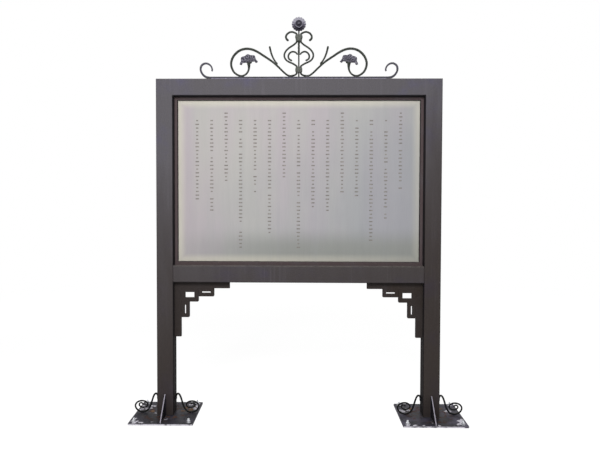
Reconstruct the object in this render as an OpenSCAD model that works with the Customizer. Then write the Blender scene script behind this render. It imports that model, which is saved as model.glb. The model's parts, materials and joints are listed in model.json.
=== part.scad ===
// Free-standing notice board: a welded square-tube frame on two anchored
// base plates, a recessed metal notice plate, fret corner brackets under the
// lower rail, forged scrolls at the feet and a forged scroll crest on top.
// The origin is on the ground midway between the posts. X runs along the
// board, the notice faces -Y and Z is up.

/* [Frame] */
// Width over the two posts
frame_w = 1700; // [1500:10:1900]
// Height of the top rail's upper face above the ground
frame_h = 2030; // [1900:10:2200]
// Side of the square tube that posts and rails are cut from
tube = 100; // [80:1:120]
// Wall of the square tube
tube_wall = 3; // [2:0.5:6]
// Outer corner radius of the square tube
tube_r = 8; // [7:0.5:12]
// Height of the lower rail's underside above the ground
clear_h = 815; // [700:5:900]

/* [Notice] */
// How far the retaining bead lies behind the front of the tube
recess = 45; // [30:1:52]
// Width of the bead's face
bead_w = 20; // [14:1:30]
// Depth of the bead
bead_d = 16; // [10:1:18]
// Wall of the bead's hollow section
bead_wall = 1.5; // [1:0.1:2.5]
// Thickness of the notice plate
plate_t = 2; // [1:0.5:4]
// Thickness of the backing panel behind the notice plate
backing_t = 9; // [6:1:12]
// Play of the notice plate and the backing panel inside the frame, each side
pane_play = 2; // [0.5:0.5:4]
// Leg of the rear stop that bears on the backing panel
stop_face = 20; // [14:1:30]
// Leg of the rear stop that lies on the tube
stop_leg = 16; // [15:1:18]
// Thickness of the rear stop
stop_t = 2; // [1.5:0.5:2.5]
// Shank diameter of the screws that hold the rear stops
stop_screw_d = 5; // [4:0.5:6]
// Largest distance between two of those screws
stop_pitch = 330; // [250:10:500]

/* [Fret brackets] */
// Thickness of the brackets, front to back
fret_t = 25; // [15:1:40]
// Width of the angle's two legs
fret_leg = 40; // [25:1:50]
// Length of each leg of the angle
fret_len = 335; // [310:5:400]
// Width of the bar that the loops are made of
loop_bar = 20; // [14:1:24]
// Width of the bar that the ring is made of
ring_bar = 24; // [18:1:28]
// Length of the ring along the rail
ring_w = 105; // [90:1:120]
// Height of the ring
ring_h = 82; // [72:1:95]
// Length of a loop
loop_len = 95; // [80:1:110]
// Width of the slot inside a loop
loop_slot = 10; // [5:1:16]
// Outer corner radius of the ring and the loops
fret_r = 4; // [2:0.5:6]

/* [Feet] */
// Side of the square base plate
base_w = 380; // [350:5:420]
// Thickness of the base plate
base_t = 8; // [6:1:20]
// Corner radius of the base plate
base_r = 8; // [3:1:20]
// Distance between the anchor holes, both ways
anchor_pitch = 320; // [310:5:325]
// Diameter of an anchor hole
anchor_d = 14; // [10:1:20]
// Thickness of a gusset
gusset_t = 6; // [4:1:10]
// Height of a gusset
gusset_h = 130; // [90:5:160]
// Distance a gusset reaches out from the post
gusset_reach = 132; // [80:1:135]
// Height of the blunt ends of a gusset
gusset_nose = 8; // [5:1:15]
// Bar diameter of a foot scroll
foot_bar = 11; // [9:0.5:13]
// Distance a foot scroll reaches out from the post
foot_reach = 150; // [130:1:160]

/* [Crest] */
// Width of the crest over its two end curls
crest_w = 1190; // [1080:10:1280]
// Thickness of the strip that the crest is welded to
strip_t = 6; // [4:1:10]
// Width of that strip, front to back
strip_w = 40; // [38:1:60]
// Diameter of the screws that hold the strip on the rail
strip_screw_d = 6; // [5:0.5:6.5]
// Number of those screws
strip_screws_n = 6; // [4:2:10]
// Side of the square base bar with the curled ends
base_bar = 12; // [10:1:16]
// Bar diameter of the S-scrolls at their thin ends
scroll_bar = 10; // [8:0.5:11]
// Extra diameter of the S-scrolls at the crown
scroll_swell = 4; // [0:0.5:8]
// Extra diameter of an S-scroll where it meets its leaf
scroll_flare = 14; // [6:1:18]
// Diameter of the lyre bars, the heart curls, the spurs and the centre stem
rod = 9; // [7:0.5:10]
// Distance of the outer channels of a collar from the stem
collar_pitch = 13; // [12:0.5:14]
// Height of the upper collar's middle above the base bar
upper_collar_at = 229; // [222:1:232]
// Largest diameter of the upper collar
upper_collar_d = 44; // [42:1:54]
// Height of the upper collar
upper_collar_h = 37; // [30:1:44]
// Height of the lower collar's middle above the base bar
lower_collar_at = 41; // [38:1:46]
// Largest diameter of the lower collar
lower_collar_d = 42; // [40:1:50]
// Height of the lower collar
lower_collar_h = 34; // [28:1:38]
// Width of a leaf over its drooping tips
leaf_w = 108; // [90:1:120]
// Thickness of a leaf at its root
leaf_t = 13; // [8:1:18]
// Outward lean of a leaf, in degrees
leaf_lean = 8; // [0:1:12]
// Height of the rosette's middle above the base bar
rosette_at = 308; // [300:1:325]
// Diameter of the rosette over its petals
rosette_d = 86; // [78:1:104]
// Number of petals
petals = 16; // [10:1:20]
// Thickness of the petal plate at its rim
petal_t = 5; // [3:0.5:8]
// Diameter of the raised cup of the rosette
cup_d = 56; // [44:1:64]
// Height of the cup in front of the petals
cup_h = 11; // [6:1:16]
// Radius of the cup's rounded lip
cup_lip = 4.5; // [3:0.5:5]
// Diameter of the boss in the cup
boss_d = 15; // [10:1:20]

/* [Fits] */
// Gap between a round bar and what it is welded to
weld_gap = 0.2; // [0.1:0.05:0.4]
// Clearance round a bar in its collar and round a screw in its hole
slip = 0.2; // [0.1:0.05:0.3]

/* [Hidden] */

// Colours of the paint, the forged bars, the castings, the plate and the zinc
PAINT = [0.31, 0.28, 0.29];
FORGED = [0.25, 0.26, 0.24];
CAST = [0.38, 0.37, 0.41];
STEEL = [0.76, 0.75, 0.70];
ZINC = [0.72, 0.73, 0.75];

// Sizes that follow from the driving ones
half_w = frame_w / 2;
inner_x = half_w - tube;
post_x = half_w - tube / 2;
clear_top = frame_h - tube;
clear_low = clear_h + tube;
open_w = 2 * inner_x;
open_h = clear_top - clear_low;
open_z = (clear_top + clear_low) / 2;
bead_y = recess - tube / 2;
plate_y = bead_y + bead_d;
backing_y = plate_y + plate_t;
stop_y = backing_y + backing_t;
rod_r = rod / 2;
scroll_r = scroll_bar / 2;
foot_r = foot_bar / 2;
bore_fn = 48;
over = 1;

// The crest stands on the base bar's upper face
strip_z = frame_h;
bar_z = strip_z + strip_t;
crest_z = bar_z + base_bar;

// Runs of the bars, as [out from the centre, up], drawn for a crest CREST_SPAN wide
CREST_SPAN = 1180;
crest_k = crest_w / CREST_SPAN;
S_RUN = [
    [21, 6], [38, 1], [62, 2], [84, 17], [106, 38], [150, 79],
    [206, 117], [258, 149], [307, 161], [354, 149], [390, 114], [403, 70], [389, 27],
    [362, 5], [336, 0], [312, 12], [299, 33], [296, 55], [298, 78]
];
LYRE_BELLY = [[36, 79], [61, 89], [80, 105], [87, 128], [78, 151], [58, 171], [32, 187]];
LYRE_CURL = [[21, 258], [38, 265], [59, 261], [75, 245], [76, 227], [66, 216]];
HEART_RUN = [[0, 132], [9, 143], [27, 149], [45, 141], [54, 123], [50, 106], [36, 97]];
SPUR_RUN = [[0, 0], [14, 16], [27, 38], [38, 67], [45, 98]];
CURL_RUN = [
    [0, 0], [28, 3], [51, 18], [65, 46], [61, 71], [42, 85], [20, 83], [3, 69], [-4, 52], [-2, 40]
];

// Half the straight part of the base bar, and the strip under it
curl_out = max([for (a = CURL_RUN) a[0]]) * crest_k;
straight_x = crest_w / 2 - base_bar / 2 - curl_out;
strip_len = 2 * straight_x;

// Heights of the crest's parts above the base bar
lower_collar_z = lower_collar_at * crest_k;
upper_collar_z = upper_collar_at * crest_k;
rosette_z = rosette_at * crest_k;

// Run of a foot scroll, as [out from the post, up]
FOOT_RUN = [
    [0, 80], [0, 98], [5, 110], [14, 113], [24, 102], [34, 74], [43, 45], [53, 22],
    [70, 5], [94, 0], [119, 6], [135, 22], [139, 40], [128, 58], [105, 67], [80, 65],
    [64, 52], [66, 35], [84, 27], [103, 29], [115, 39], [113, 50], [102, 55], [92, 48]
];
foot_k = (foot_reach - foot_bar - weld_gap) / max([for (a = FOOT_RUN) a[0]]);

// Steps from the start of an S-scroll to the place where a spur grows from it
SPUR_AT = 23;
// Steps from each point of a long run and of a short run to the next
FINE = 3;
COARSE = 2;
// Share of a bar's thickness that is forged away towards its thin end
FOOT_TAPER = 0.3;
CURL_TAPER = 0.4;
// Thickness of a welded root, a spur's end and a lyre bar's end, as shares of the rod
ROOT = 0.8;
SPUR_END = 1.25;
LYRE_END = 1.4;
// Straight bar beyond a collar, and half the gap between two bars inside it
LEAD = 6;
SPLIT = 2;
// Where along an S-scroll its swell starts, how far it goes on, and steps that the flare takes
SWELL_FROM = 0.25;
SWELL_SPAN = 0.6;
FLARE_STEPS = 7;

// A point on the smooth curve that runs through b and c
function blend(a, b, c, d, t) =
    b + (c - a) * t / 2
      + (2 * a - 5 * b + 4 * c - d) * t * t / 2
      + (3 * b - a - 3 * c + d) * t * t * t / 2;

// The smooth curve through points p, with n steps from each point to the next
function smooth(p, n) = let (last = len(p) - 1) concat(
    [for (i = [0:last - 1]) for (j = [0:n - 1])
        blend(p[max(i - 1, 0)], p[i], p[i + 1], p[min(i + 2, last)], j / n)],
    [p[last]]);

// Unit direction of path p at point i
function heading(p, i) =
    let (d = p[min(i + 1, len(p) - 1)] - p[max(i - 1, 0)]) d / norm(d);

// Path p carried on past its end by three short steps, for a rounded tip of radius r
function tip_path(p, r) = let (e = p[len(p) - 1], h = heading(p, len(p) - 1))
    concat(p, [e + h * r * 0.4, e + h * r * 0.75, e + h * r * 0.95]);
function tip_radii(q) = let (r = q[len(q) - 1]) concat(q, [r * 0.9, r * 0.62, r * 0.22]);

// Path p moved along axis k until the lower side of its bar of radii q lies at c
function seated(p, q, k, c) =
    let (low = min([for (i = [0:len(p) - 1]) p[i][k] - q[i]]))
    [for (a = p) a + (k == 0 ? [c - low, 0] : [0, c - low])];

// A bar along path p in the XZ plane with radii q and the given number of sides
module bar(p, q, sides, turn = 0) {
    n = len(p);
    ring = [for (i = [0:n - 1]) let (h = heading(p, i)) for (j = [0:sides - 1])
        let (a = turn + j * 360 / sides)
        [p[i][0] - h[1] * q[i] * cos(a), q[i] * sin(a), p[i][1] + h[0] * q[i] * cos(a)]];
    skin = [for (i = [0:n - 2]) for (j = [0:sides - 1])
        let (k = (j + 1) % sides, a = i * sides, b = a + sides)
        each [[a + j, b + j, b + k], [a + j, b + k, a + k]]];
    ends = [
        [for (j = [0:sides - 1]) j],
        [for (j = [sides - 1:-1:0]) (n - 1) * sides + j]
    ];
    polyhedron(concat(ring, [[p[0][0], 0, p[0][1]]]), concat(skin, ends));
}

// Everything is modelled on the left and mirrored for the right
module side(s) {
    if (s < 0) children();
    else mirror([1, 0, 0]) children();
}

// Lays a shape drawn in X and Y up into the XZ plane, thick from y0 to y1
module upright(y0, y1) {
    translate([0, y1, 0]) rotate([90, 0, 0]) linear_extrude(height = y1 - y0) children();
}

module rounded_rect(w, h, r) {
    square([w - 2 * r, h], center = true);
    square([w, h - 2 * r], center = true);
    for (x = [-1, 1], y = [-1, 1])
        translate([x * (w / 2 - r), y * (h / 2 - r)]) circle(r = r, $fn = bore_fn);
}

// Section of the square tube
module tube_section() {
    difference() {
        rounded_rect(tube, tube, tube_r);
        rounded_rect(tube - 2 * tube_wall, tube - 2 * tube_wall, tube_r - tube_wall);
    }
}

// A tube along X, centred on the frame's middle plane
module tube_x(length, z) {
    translate([-length / 2, 0, z]) rotate([90, 0, 90]) linear_extrude(height = length)
        tube_section();
}

// Sets of screw places along a run, from the middle outwards
function places(length, pitch) = let (n = ceil(length / pitch), gap = length / n)
    [for (i = [0:n - 1]) -length / 2 + gap * (i + 0.5)];
top_places = places(open_w, stop_pitch);
side_places = places(open_h, stop_pitch);
stop_screw_y = stop_y + stop_t + (stop_leg - stop_t) / 2;

// The strip's screws stand in turn before and behind the base bar
strip_screw_y = base_bar / 4 + strip_w / 4;
strip_places = [for (i = [0:strip_screws_n - 1])
    [strip_len * ((i + 0.5) / strip_screws_n - 0.5), (i % 2 == 0 ? -1 : 1) * strip_screw_y]];

// Clearance holes for those screws, depth deep under height z
module strip_holes(depth, z) {
    for (a = strip_places) translate([a[0], a[1], z - depth - over])
        cylinder(h = depth + 2 * over, d = strip_screw_d + 2 * slip, $fn = bore_fn);
}

// Holes of the rear stops' screws, square to the frame's inner faces
module stop_holes(r) {
    for (x = top_places, z = [clear_low, clear_top])
        translate([x, stop_screw_y, z])
            cylinder(h = 2 * (tube_wall + stop_t), r = r, center = true, $fn = bore_fn);
    for (z = side_places, x = [-inner_x, inner_x])
        translate([x, stop_screw_y, open_z + z]) rotate([0, 90, 0])
            cylinder(h = 2 * (tube_wall + stop_t), r = r, center = true, $fn = bore_fn);
}

module post() {
    color(PAINT) difference() {
        intersection() {
            translate([-post_x, 0, base_t]) linear_extrude(height = frame_h - base_t)
                tube_section();
            upright(-tube, tube) polygon([
                [-half_w - over, 0], [-half_w - over, frame_h + over],
                [-inner_x, clear_top], [-inner_x, 0]
            ]);
        }
        stop_holes(stop_screw_d / 2 + slip);
    }
}

module top_rail() {
    color(PAINT) difference() {
        intersection() {
            tube_x(frame_w, frame_h - tube / 2);
            upright(-tube, tube) polygon([
                [-half_w - over, frame_h + over], [half_w + over, frame_h + over],
                [inner_x, clear_top], [-inner_x, clear_top]
            ]);
        }
        stop_holes(stop_screw_d / 2 + slip);
        strip_holes(tube_wall, frame_h);
    }
}

module lower_rail() {
    color(PAINT) difference() {
        tube_x(open_w, clear_h + tube / 2);
        stop_holes(stop_screw_d / 2 + slip);
    }
}

// Outline of one side of a mitred frame: length along the outside, width inwards
module mitre_outline(length, width) {
    polygon([
        [-length / 2, 0], [length / 2, 0],
        [length / 2 - width, -width], [-length / 2 + width, -width]
    ]);
}

// Puts one side of a frame, drawn hanging down from its outer edge, on side a
module frame_side(a) {
    reach = a % 180 == 0 ? open_h / 2 : open_w / 2;
    translate([0, 0, open_z]) rotate([0, a, 0]) translate([0, 0, reach]) children();
}

module bead(length) {
    color(PAINT) difference() {
        upright(bead_y, bead_y + bead_d) mitre_outline(length, bead_w);
        translate([-length / 2, bead_y + bead_wall, -bead_w + bead_wall])
            cube([length, bead_d - 2 * bead_wall, bead_w - 2 * bead_wall]);
    }
}

// An angle section: one leg on the backing panel, one on the tube
module rear_stop(length) {
    intersection() {
        upright(stop_y, stop_y + stop_leg) mitre_outline(length, stop_face);
        translate([-length / 2, 0, 0]) union() {
            translate([0, stop_y, -stop_face]) cube([length, stop_t, stop_face]);
            translate([0, stop_y, -stop_t]) cube([length, stop_leg, stop_t]);
        }
    }
}

module drilled_stop(a, length) {
    color(PAINT) difference() {
        frame_side(a) rear_stop(length);
        stop_holes(stop_screw_d / 2 + slip);
    }
}

module pane(y, t) {
    translate([-inner_x + pane_play, y, clear_low + pane_play])
        cube([open_w - 2 * pane_play, t, open_h - 2 * pane_play]);
}

module notice_plate() {
    color(STEEL) pane(plate_y, plate_t);
}

module backing_panel() {
    color(PAINT) pane(backing_y, backing_t);
}

// Height, width and dome radius of a screw head as shares of the shank's diameter
HEAD_H = 0.6;
HEAD_W = 1.9;
HEAD_DOME = 1.5;

// A pan-head screw along +Z with the underside of its head at the origin
module pan_screw(d, length) {
    translate([0, 0, -length]) cylinder(h = length, d = d, $fn = bore_fn);
    intersection() {
        cylinder(h = d * HEAD_H, d = d * HEAD_W, $fn = bore_fn);
        translate([0, 0, d * (HEAD_H - HEAD_DOME)]) sphere(r = d * HEAD_DOME, $fn = bore_fn);
    }
}

module stop_screws() {
    length = stop_t + tube_wall + stop_screw_d;
    color(ZINC) {
        for (x = top_places) {
            translate([x, stop_screw_y, clear_low + stop_t]) pan_screw(stop_screw_d, length);
            translate([x, stop_screw_y, clear_top - stop_t]) rotate([180, 0, 0])
                pan_screw(stop_screw_d, length);
        }
        for (z = side_places, s = [-1, 1])
            translate([s * (inner_x - stop_t), stop_screw_y, open_z + z])
                rotate([0, -s * 90, 0]) pan_screw(stop_screw_d, length);
    }
}

// Fret bracket, drawn from the corner of post and rail: X out, Y down
module fret_at() {
    color(PAINT) translate([-inner_x, 0, clear_h]) upright(-fret_t / 2, fret_t / 2) children();
}

module fret_frame(x, y, w, h, bar_w) {
    translate([x + w / 2, -y - h / 2]) difference() {
        rounded_rect(w, h, fret_r);
        square([w - 2 * bar_w, h - 2 * bar_w], center = true);
    }
}
loop_w = loop_slot + 2 * loop_bar;

module fret_angle() {
    fret_at() polygon([
        [0, 0], [fret_len, 0], [fret_len, -fret_leg],
        [fret_leg, -fret_leg], [fret_leg, -fret_len], [0, -fret_len]
    ]);
}

module fret_ring() {
    fret_at() fret_frame(fret_leg, fret_leg, ring_w, ring_h, ring_bar);
}

module fret_upper_loop() {
    fret_at() fret_frame(fret_leg + ring_w, fret_leg, loop_len, loop_w, loop_bar);
}

module fret_lower_loop() {
    fret_at() fret_frame(fret_leg, fret_leg + ring_h, loop_w, loop_len, loop_bar);
}

module base_plate() {
    color(PAINT) translate([-post_x, 0, 0]) difference() {
        linear_extrude(height = base_t) rounded_rect(base_w, base_w, base_r);
        for (x = [-1, 1], y = [-1, 1])
            translate([x * anchor_pitch / 2, y * anchor_pitch / 2, -over])
                cylinder(h = base_t + 2 * over, d = anchor_d, $fn = bore_fn);
    }
}

// A gusset standing on the base plate, f = -1 in front of the post and 1 behind
module gusset(f) {
    color(PAINT) translate([-post_x, 0, base_t]) rotate([0, 0, f * 90])
        upright(-gusset_t / 2, gusset_t / 2) translate([tube / 2, 0]) polygon([
            [0, 0], [gusset_reach, 0], [gusset_reach, gusset_nose],
            [gusset_nose, gusset_h], [0, gusset_h]
        ]);
}

// Foot scroll beside the post, d = -1 outwards and 1 towards the other post
module foot_scroll(d) {
    run = smooth([for (a = FOOT_RUN) a * foot_k], COARSE);
    n = len(run);
    q = [for (i = [0:n - 1]) foot_r * (1 - FOOT_TAPER * i / n)];
    low = seated(seated(run, q, 1, base_t + weld_gap), q, 0, tube / 2 + weld_gap);
    color(FORGED) translate([-post_x, 0, 0]) scale([d, 1, 1])
        bar(tip_path(low, q[n - 1]), tip_radii(q), 10);
}

module mounting_strip() {
    color(PAINT) difference() {
        translate([-straight_x, -strip_w / 2, strip_z]) cube([strip_len, strip_w, strip_t]);
        strip_holes(strip_t, bar_z);
    }
}

module strip_screws() {
    length = strip_t + tube_wall + strip_screw_d;
    color(ZINC) for (a = strip_places) translate([a[0], a[1], bar_z])
        pan_screw(strip_screw_d, length);
}

// The square bar lies on the strip and curls up at both ends
module base_bar() {
    run = smooth([for (a = CURL_RUN) a * crest_k], FINE);
    n = len(run);
    q = [for (i = [0:n - 1]) base_bar / sqrt(2) * (1 - CURL_TAPER * i / n)];
    right = [for (a = run) [straight_x, bar_z + base_bar / 2] + a];
    left = [for (i = [n - 1:-1:0]) [-right[i][0], right[i][1]]];
    color(FORGED) bar(concat(left, right), concat([for (i = [n - 1:-1:0]) q[i]], q), 4, 45);
}

// Centre line of an S-scroll on the right, from the lower collar to the leaf
s_foot = lower_collar_z - lower_collar_h / 2;
s_lead = [for (z = [lower_collar_z - SPLIT, s_foot - LEAD / 2, s_foot - LEAD]) [collar_pitch, z]];
s_raw = smooth(concat(s_lead, [for (a = S_RUN) a * crest_k + [0, scroll_r + weld_gap]]), FINE);
s_n = len(s_raw);
function swell(t) = pow(sin(180 * min(1, max(0, (t - SWELL_FROM) / SWELL_SPAN))), 2);
function flare(i) = pow(max(0, 1 - (s_n - 1 - i) / FLARE_STEPS), 2);
s_q = [for (i = [0:s_n - 1])
    scroll_r + scroll_swell / 2 * swell(i / s_n) + scroll_flare / 2 * flare(i)];
s_run = seated(s_raw, s_q, 1, weld_gap);
s_end = s_run[s_n - 1];

module at_crest() {
    color(FORGED) translate([0, 0, crest_z]) children();
}

module s_scroll() {
    at_crest() bar(s_run, s_q, 12);
}

module spur() {
    h = heading(s_run, SPUR_AT);
    start = s_run[SPUR_AT] + [-h[1], h[0]] * (s_q[SPUR_AT] + rod_r * ROOT + weld_gap);
    run = smooth([for (a = SPUR_RUN) start + a * crest_k], FINE);
    n = len(run);
    q = [for (k = [0:n - 1]) rod_r * (ROOT + (SPUR_END - ROOT) * k / n)];
    at_crest() bar(tip_path(run, q[n - 1]), tip_radii(q), 8);
}

module lyre_bar() {
    low = lower_collar_z + lower_collar_h / 2;
    up0 = upper_collar_z - upper_collar_h / 2;
    up1 = upper_collar_z + upper_collar_h / 2;
    run = smooth(concat(
        [for (z = [lower_collar_z + SPLIT, low + LEAD / 2, low + LEAD]) [collar_pitch, z]],
        [for (a = LYRE_BELLY) a * crest_k],
        [for (z = [up0 - LEAD, up0 - LEAD / 2, up1 + LEAD / 2, up1 + LEAD]) [collar_pitch, z]],
        [for (a = LYRE_CURL) a * crest_k]), COARSE);
    n = len(run);
    q = [for (i = [0:n - 1]) rod_r * (1 + (LYRE_END - 1) * pow(i / n, 6))];
    at_crest() bar(tip_path(run, q[n - 1]), tip_radii(q), 10);
}

module heart_curl() {
    start = rod_r * (1 + ROOT) + weld_gap;
    run = smooth([for (a = HEART_RUN) a * crest_k + [start, 0]], FINE);
    n = len(run);
    q = [for (i = [0:n - 1]) rod_r * min(1, ROOT + (1 - ROOT) * i / (2 * FINE))];
    at_crest() bar(tip_path(run, q[n - 1]), tip_radii(q), 10);
}

module centre_stem() {
    at_crest() cylinder(h = rosette_z + rosette_d / 5, r = rod_r, $fn = bore_fn);
}

// A turned collar of height h; the profile gives [height, radius] as shares of h and d / 2
module collar(h, d, z, profile, bar_d) {
    at_crest() translate([0, 0, z]) difference() {
        rotate_extrude($fn = bore_fn) polygon(concat(
            [[0, profile[0][0] * h]],
            [for (a = profile) [a[1] * d / 2, a[0] * h]],
            [[0, profile[len(profile) - 1][0] * h]]));
        cylinder(h = h + 2 * over, r = rod_r + slip, center = true, $fn = bore_fn);
        for (x = [-collar_pitch, collar_pitch]) translate([x, 0, 0])
            cylinder(h = h + 2 * over, d = bar_d + 2 * slip, center = true, $fn = bore_fn);
    }
}

module upper_collar() {
    profile = smooth([
        [-0.5, 0.62], [-0.35, 0.78], [-0.05, 0.93], [0.2, 1], [0.4, 0.9], [0.5, 0.74]
    ], FINE);
    collar(upper_collar_h, upper_collar_d, upper_collar_z, profile, rod);
}

module lower_collar() {
    profile = smooth([[-0.5, 0.72], [-0.3, 0.92], [0, 1], [0.3, 0.92], [0.5, 0.72]], FINE);
    collar(lower_collar_h, lower_collar_d, lower_collar_z, profile, scroll_bar);
}

// Fan leaf with five lobes: degrees from lobe to lobe, how deep the edge is cut between
// them, how much lower the middle lobe is, and how far the underside is drawn in
LOBE = 47;
LOBE_CUT = 0.07;
LOBE_DIP = 0.03;
LEAF_ARCH = 0.2;
// Half the thickness of the leaf's edge, and the height of its veins
LEAF_RIM = 1.5;
VEIN = 1.1;

// Distance of the leaf's edge from the root at angle a
function leaf_edge(a) = leaf_w / 2 * (1 - LOBE_CUT * (1 - cos(360 * a / LOBE))
    - (abs(a) < LOBE ? LOBE_DIP * (1 + cos(180 * a / LOBE)) : 0));

// Half the leaf's thickness at the share u of the way out, at angle a
function leaf_half(a, u) = LEAF_RIM + (leaf_t / 2 - LEAF_RIM) * pow(1 - u, 1.3)
    + VEIN * u * (1 - u / 2) * cos(900 * a / LOBE);

module leaf() {
    rings = 4;
    m = 32;
    angles = [for (i = [0:m]) 2 * LOBE * (2 * i / m - 1)];
    cols = m + 1;
    // Vertex 0 of each face is the root; then ring after ring
    face = function (s) concat(
        [[0, s * leaf_half(0, 0), 0]],
        [for (k = [1:rings]) for (a = angles)
            let (u = k / rings, r = leaf_edge(a) * u, t = a * (1 - LEAF_ARCH * (1 - u * u)))
            [r * sin(t), s * leaf_half(a, u), r * cos(t)]]);
    size = 1 + rings * cols;
    at = function (k, i) k == 0 ? 0 : 1 + (k - 1) * cols + i;
    front = concat(
        [for (i = [0:m - 1]) [0, at(1, i + 1), at(1, i)]],
        [for (k = [1:rings - 1]) for (i = [0:m - 1])
            each [
                [at(k, i), at(k, i + 1), at(k + 1, i)],
                [at(k, i + 1), at(k + 1, i + 1), at(k + 1, i)]
            ]]);
    back = [for (t = front) [t[0] + size, t[2] + size, t[1] + size]];
    rim = [for (i = [0:m - 1]) let (a = at(rings, i), b = at(rings, i + 1))
        each [[a, b, b + size], [a, b + size, a + size]]];
    edges = [for (k = [0:rings - 1])
        let (a = at(k, 0), b = at(k + 1, 0), c = at(k, m), d = at(k + 1, m))
        each [
            [a, b, b + size], [a, b + size, a + size],
            [c, d + size, d], [c, c + size, d + size]
        ]];
    color(CAST) translate([s_end[0], 0, crest_z + s_end[1] + weld_gap]) rotate([0, leaf_lean, 0])
        polyhedron(concat(face(-1), face(1)), concat(front, back, rim, edges));
}

// Rosette, drawn facing up and turned to face the viewer in front of the stem
module at_rosette() {
    translate([0, -rod_r - weld_gap, crest_z + rosette_z]) rotate([90, 0, 0]) children();
}

// How much thicker the petal plate is under the cup, how deep its edge is cut between
// two petals, the height of a petal's ridge, and the floor of the cup
HUB_RISE = 3;
PETAL_CUT = 0.1;
PETAL_RIDGE = 1.4;
CUP_FLOOR = 2;
hub_t = petal_t + HUB_RISE;

function petal_edge(a) = rosette_d / 2 * (1 - PETAL_CUT * (1 - sqrt(abs(cos(petals * a / 2)))));

module rosette_petals() {
    rings = 3;
    m = petals * 6;
    hub = cup_d / 2 + over;
    face = function (f) concat(
        [[0, 0, f * hub_t]],
        [for (k = [0:rings]) for (i = [0:m - 1])
            let (a = i * 360 / m, u = k / rings, r = hub + (petal_edge(a) - hub) * u)
            [r * cos(a), r * sin(a),
             f * (hub_t - HUB_RISE * u + PETAL_RIDGE * sin(180 * u) * cos(petals * a))]]);
    size = 1 + (rings + 1) * m;
    at = function (k, i) 1 + k * m + i % m;
    front = concat(
        [for (i = [0:m - 1]) [0, at(0, i + 1), at(0, i)]],
        [for (k = [0:rings - 1]) for (i = [0:m - 1])
            each [
                [at(k, i), at(k, i + 1), at(k + 1, i)],
                [at(k, i + 1), at(k + 1, i + 1), at(k + 1, i)]
            ]]);
    back = [for (t = front) [t[0] + size, t[2] + size, t[1] + size]];
    rim = [for (i = [0:m - 1]) let (a = at(rings, i), b = at(rings, i + 1))
        each [[a, b, b + size], [a, b + size, a + size]]];
    color(CAST) at_rosette() polyhedron(concat(face(1), face(0)), concat(front, back, rim));
}

module rosette_cup() {
    r = cup_d / 2;
    c = [r - cup_lip, cup_h - cup_lip];
    color(CAST) at_rosette() translate([0, 0, hub_t]) rotate_extrude($fn = bore_fn) polygon(concat(
        [[0, 0], [r, 0], [r, c[1]]],
        [for (a = [15:15:180]) c + cup_lip * [cos(a), sin(a)]],
        [[c[0] - cup_lip - CUP_FLOOR, CUP_FLOOR], [0, CUP_FLOOR]]));
}

module rosette_boss() {
    r = boss_d / 2;
    color(CAST) at_rosette() translate([0, 0, hub_t + CUP_FLOOR]) rotate_extrude($fn = bore_fn)
        polygon(concat([[0, 0]], [for (a = [0:15:90]) [r * cos(a), r * 1.1 * sin(a)]]));
}

side(-1) post();  // left_post
side(1) post();  // right_post
top_rail();
lower_rail();
frame_side(0) bead(open_w);  // bead_top
frame_side(180) bead(open_w);  // bead_bottom
frame_side(270) bead(open_h);  // bead_left
frame_side(90) bead(open_h);  // bead_right
notice_plate();
backing_panel();
drilled_stop(0, open_w);  // rear_stop_top
drilled_stop(180, open_w);  // rear_stop_bottom
drilled_stop(270, open_h);  // rear_stop_left
drilled_stop(90, open_h);  // rear_stop_right
stop_screws();
side(-1) fret_angle();  // left_fret_angle
side(-1) fret_ring();  // left_fret_ring
side(-1) fret_upper_loop();  // left_fret_upper_loop
side(-1) fret_lower_loop();  // left_fret_lower_loop
side(1) fret_angle();  // right_fret_angle
side(1) fret_ring();  // right_fret_ring
side(1) fret_upper_loop();  // right_fret_upper_loop
side(1) fret_lower_loop();  // right_fret_lower_loop
side(-1) base_plate();  // left_base_plate
side(1) base_plate();  // right_base_plate
side(-1) gusset(-1);  // left_front_gusset
side(-1) gusset(1);  // left_rear_gusset
side(1) gusset(-1);  // right_front_gusset
side(1) gusset(1);  // right_rear_gusset
side(-1) foot_scroll(-1);  // left_outer_foot_scroll
side(-1) foot_scroll(1);  // left_inner_foot_scroll
side(1) foot_scroll(-1);  // right_outer_foot_scroll
side(1) foot_scroll(1);  // right_inner_foot_scroll
mounting_strip();
strip_screws();
base_bar();
side(1) s_scroll();  // left_s_scroll
side(-1) s_scroll();  // right_s_scroll
side(1) leaf();  // left_leaf
side(-1) leaf();  // right_leaf
side(1) spur();  // left_spur
side(-1) spur();  // right_spur
side(1) lyre_bar();  // left_lyre_bar
side(-1) lyre_bar();  // right_lyre_bar
side(1) heart_curl();  // left_heart_curl
side(-1) heart_curl();  // right_heart_curl
centre_stem();
upper_collar();
lower_collar();
rosette_petals();
rosette_cup();
rosette_boss();
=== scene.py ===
"""A notice board with a forged crest: finishes and fine pieces around its packed solids."""
import json
import math
import random

import bmesh
import bpy
from bpy.props import FloatProperty, FloatVectorProperty, IntProperty, PointerProperty
from bpy.types import Operator, Panel, PropertyGroup
from mathutils import Matrix, Vector, noise


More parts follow.
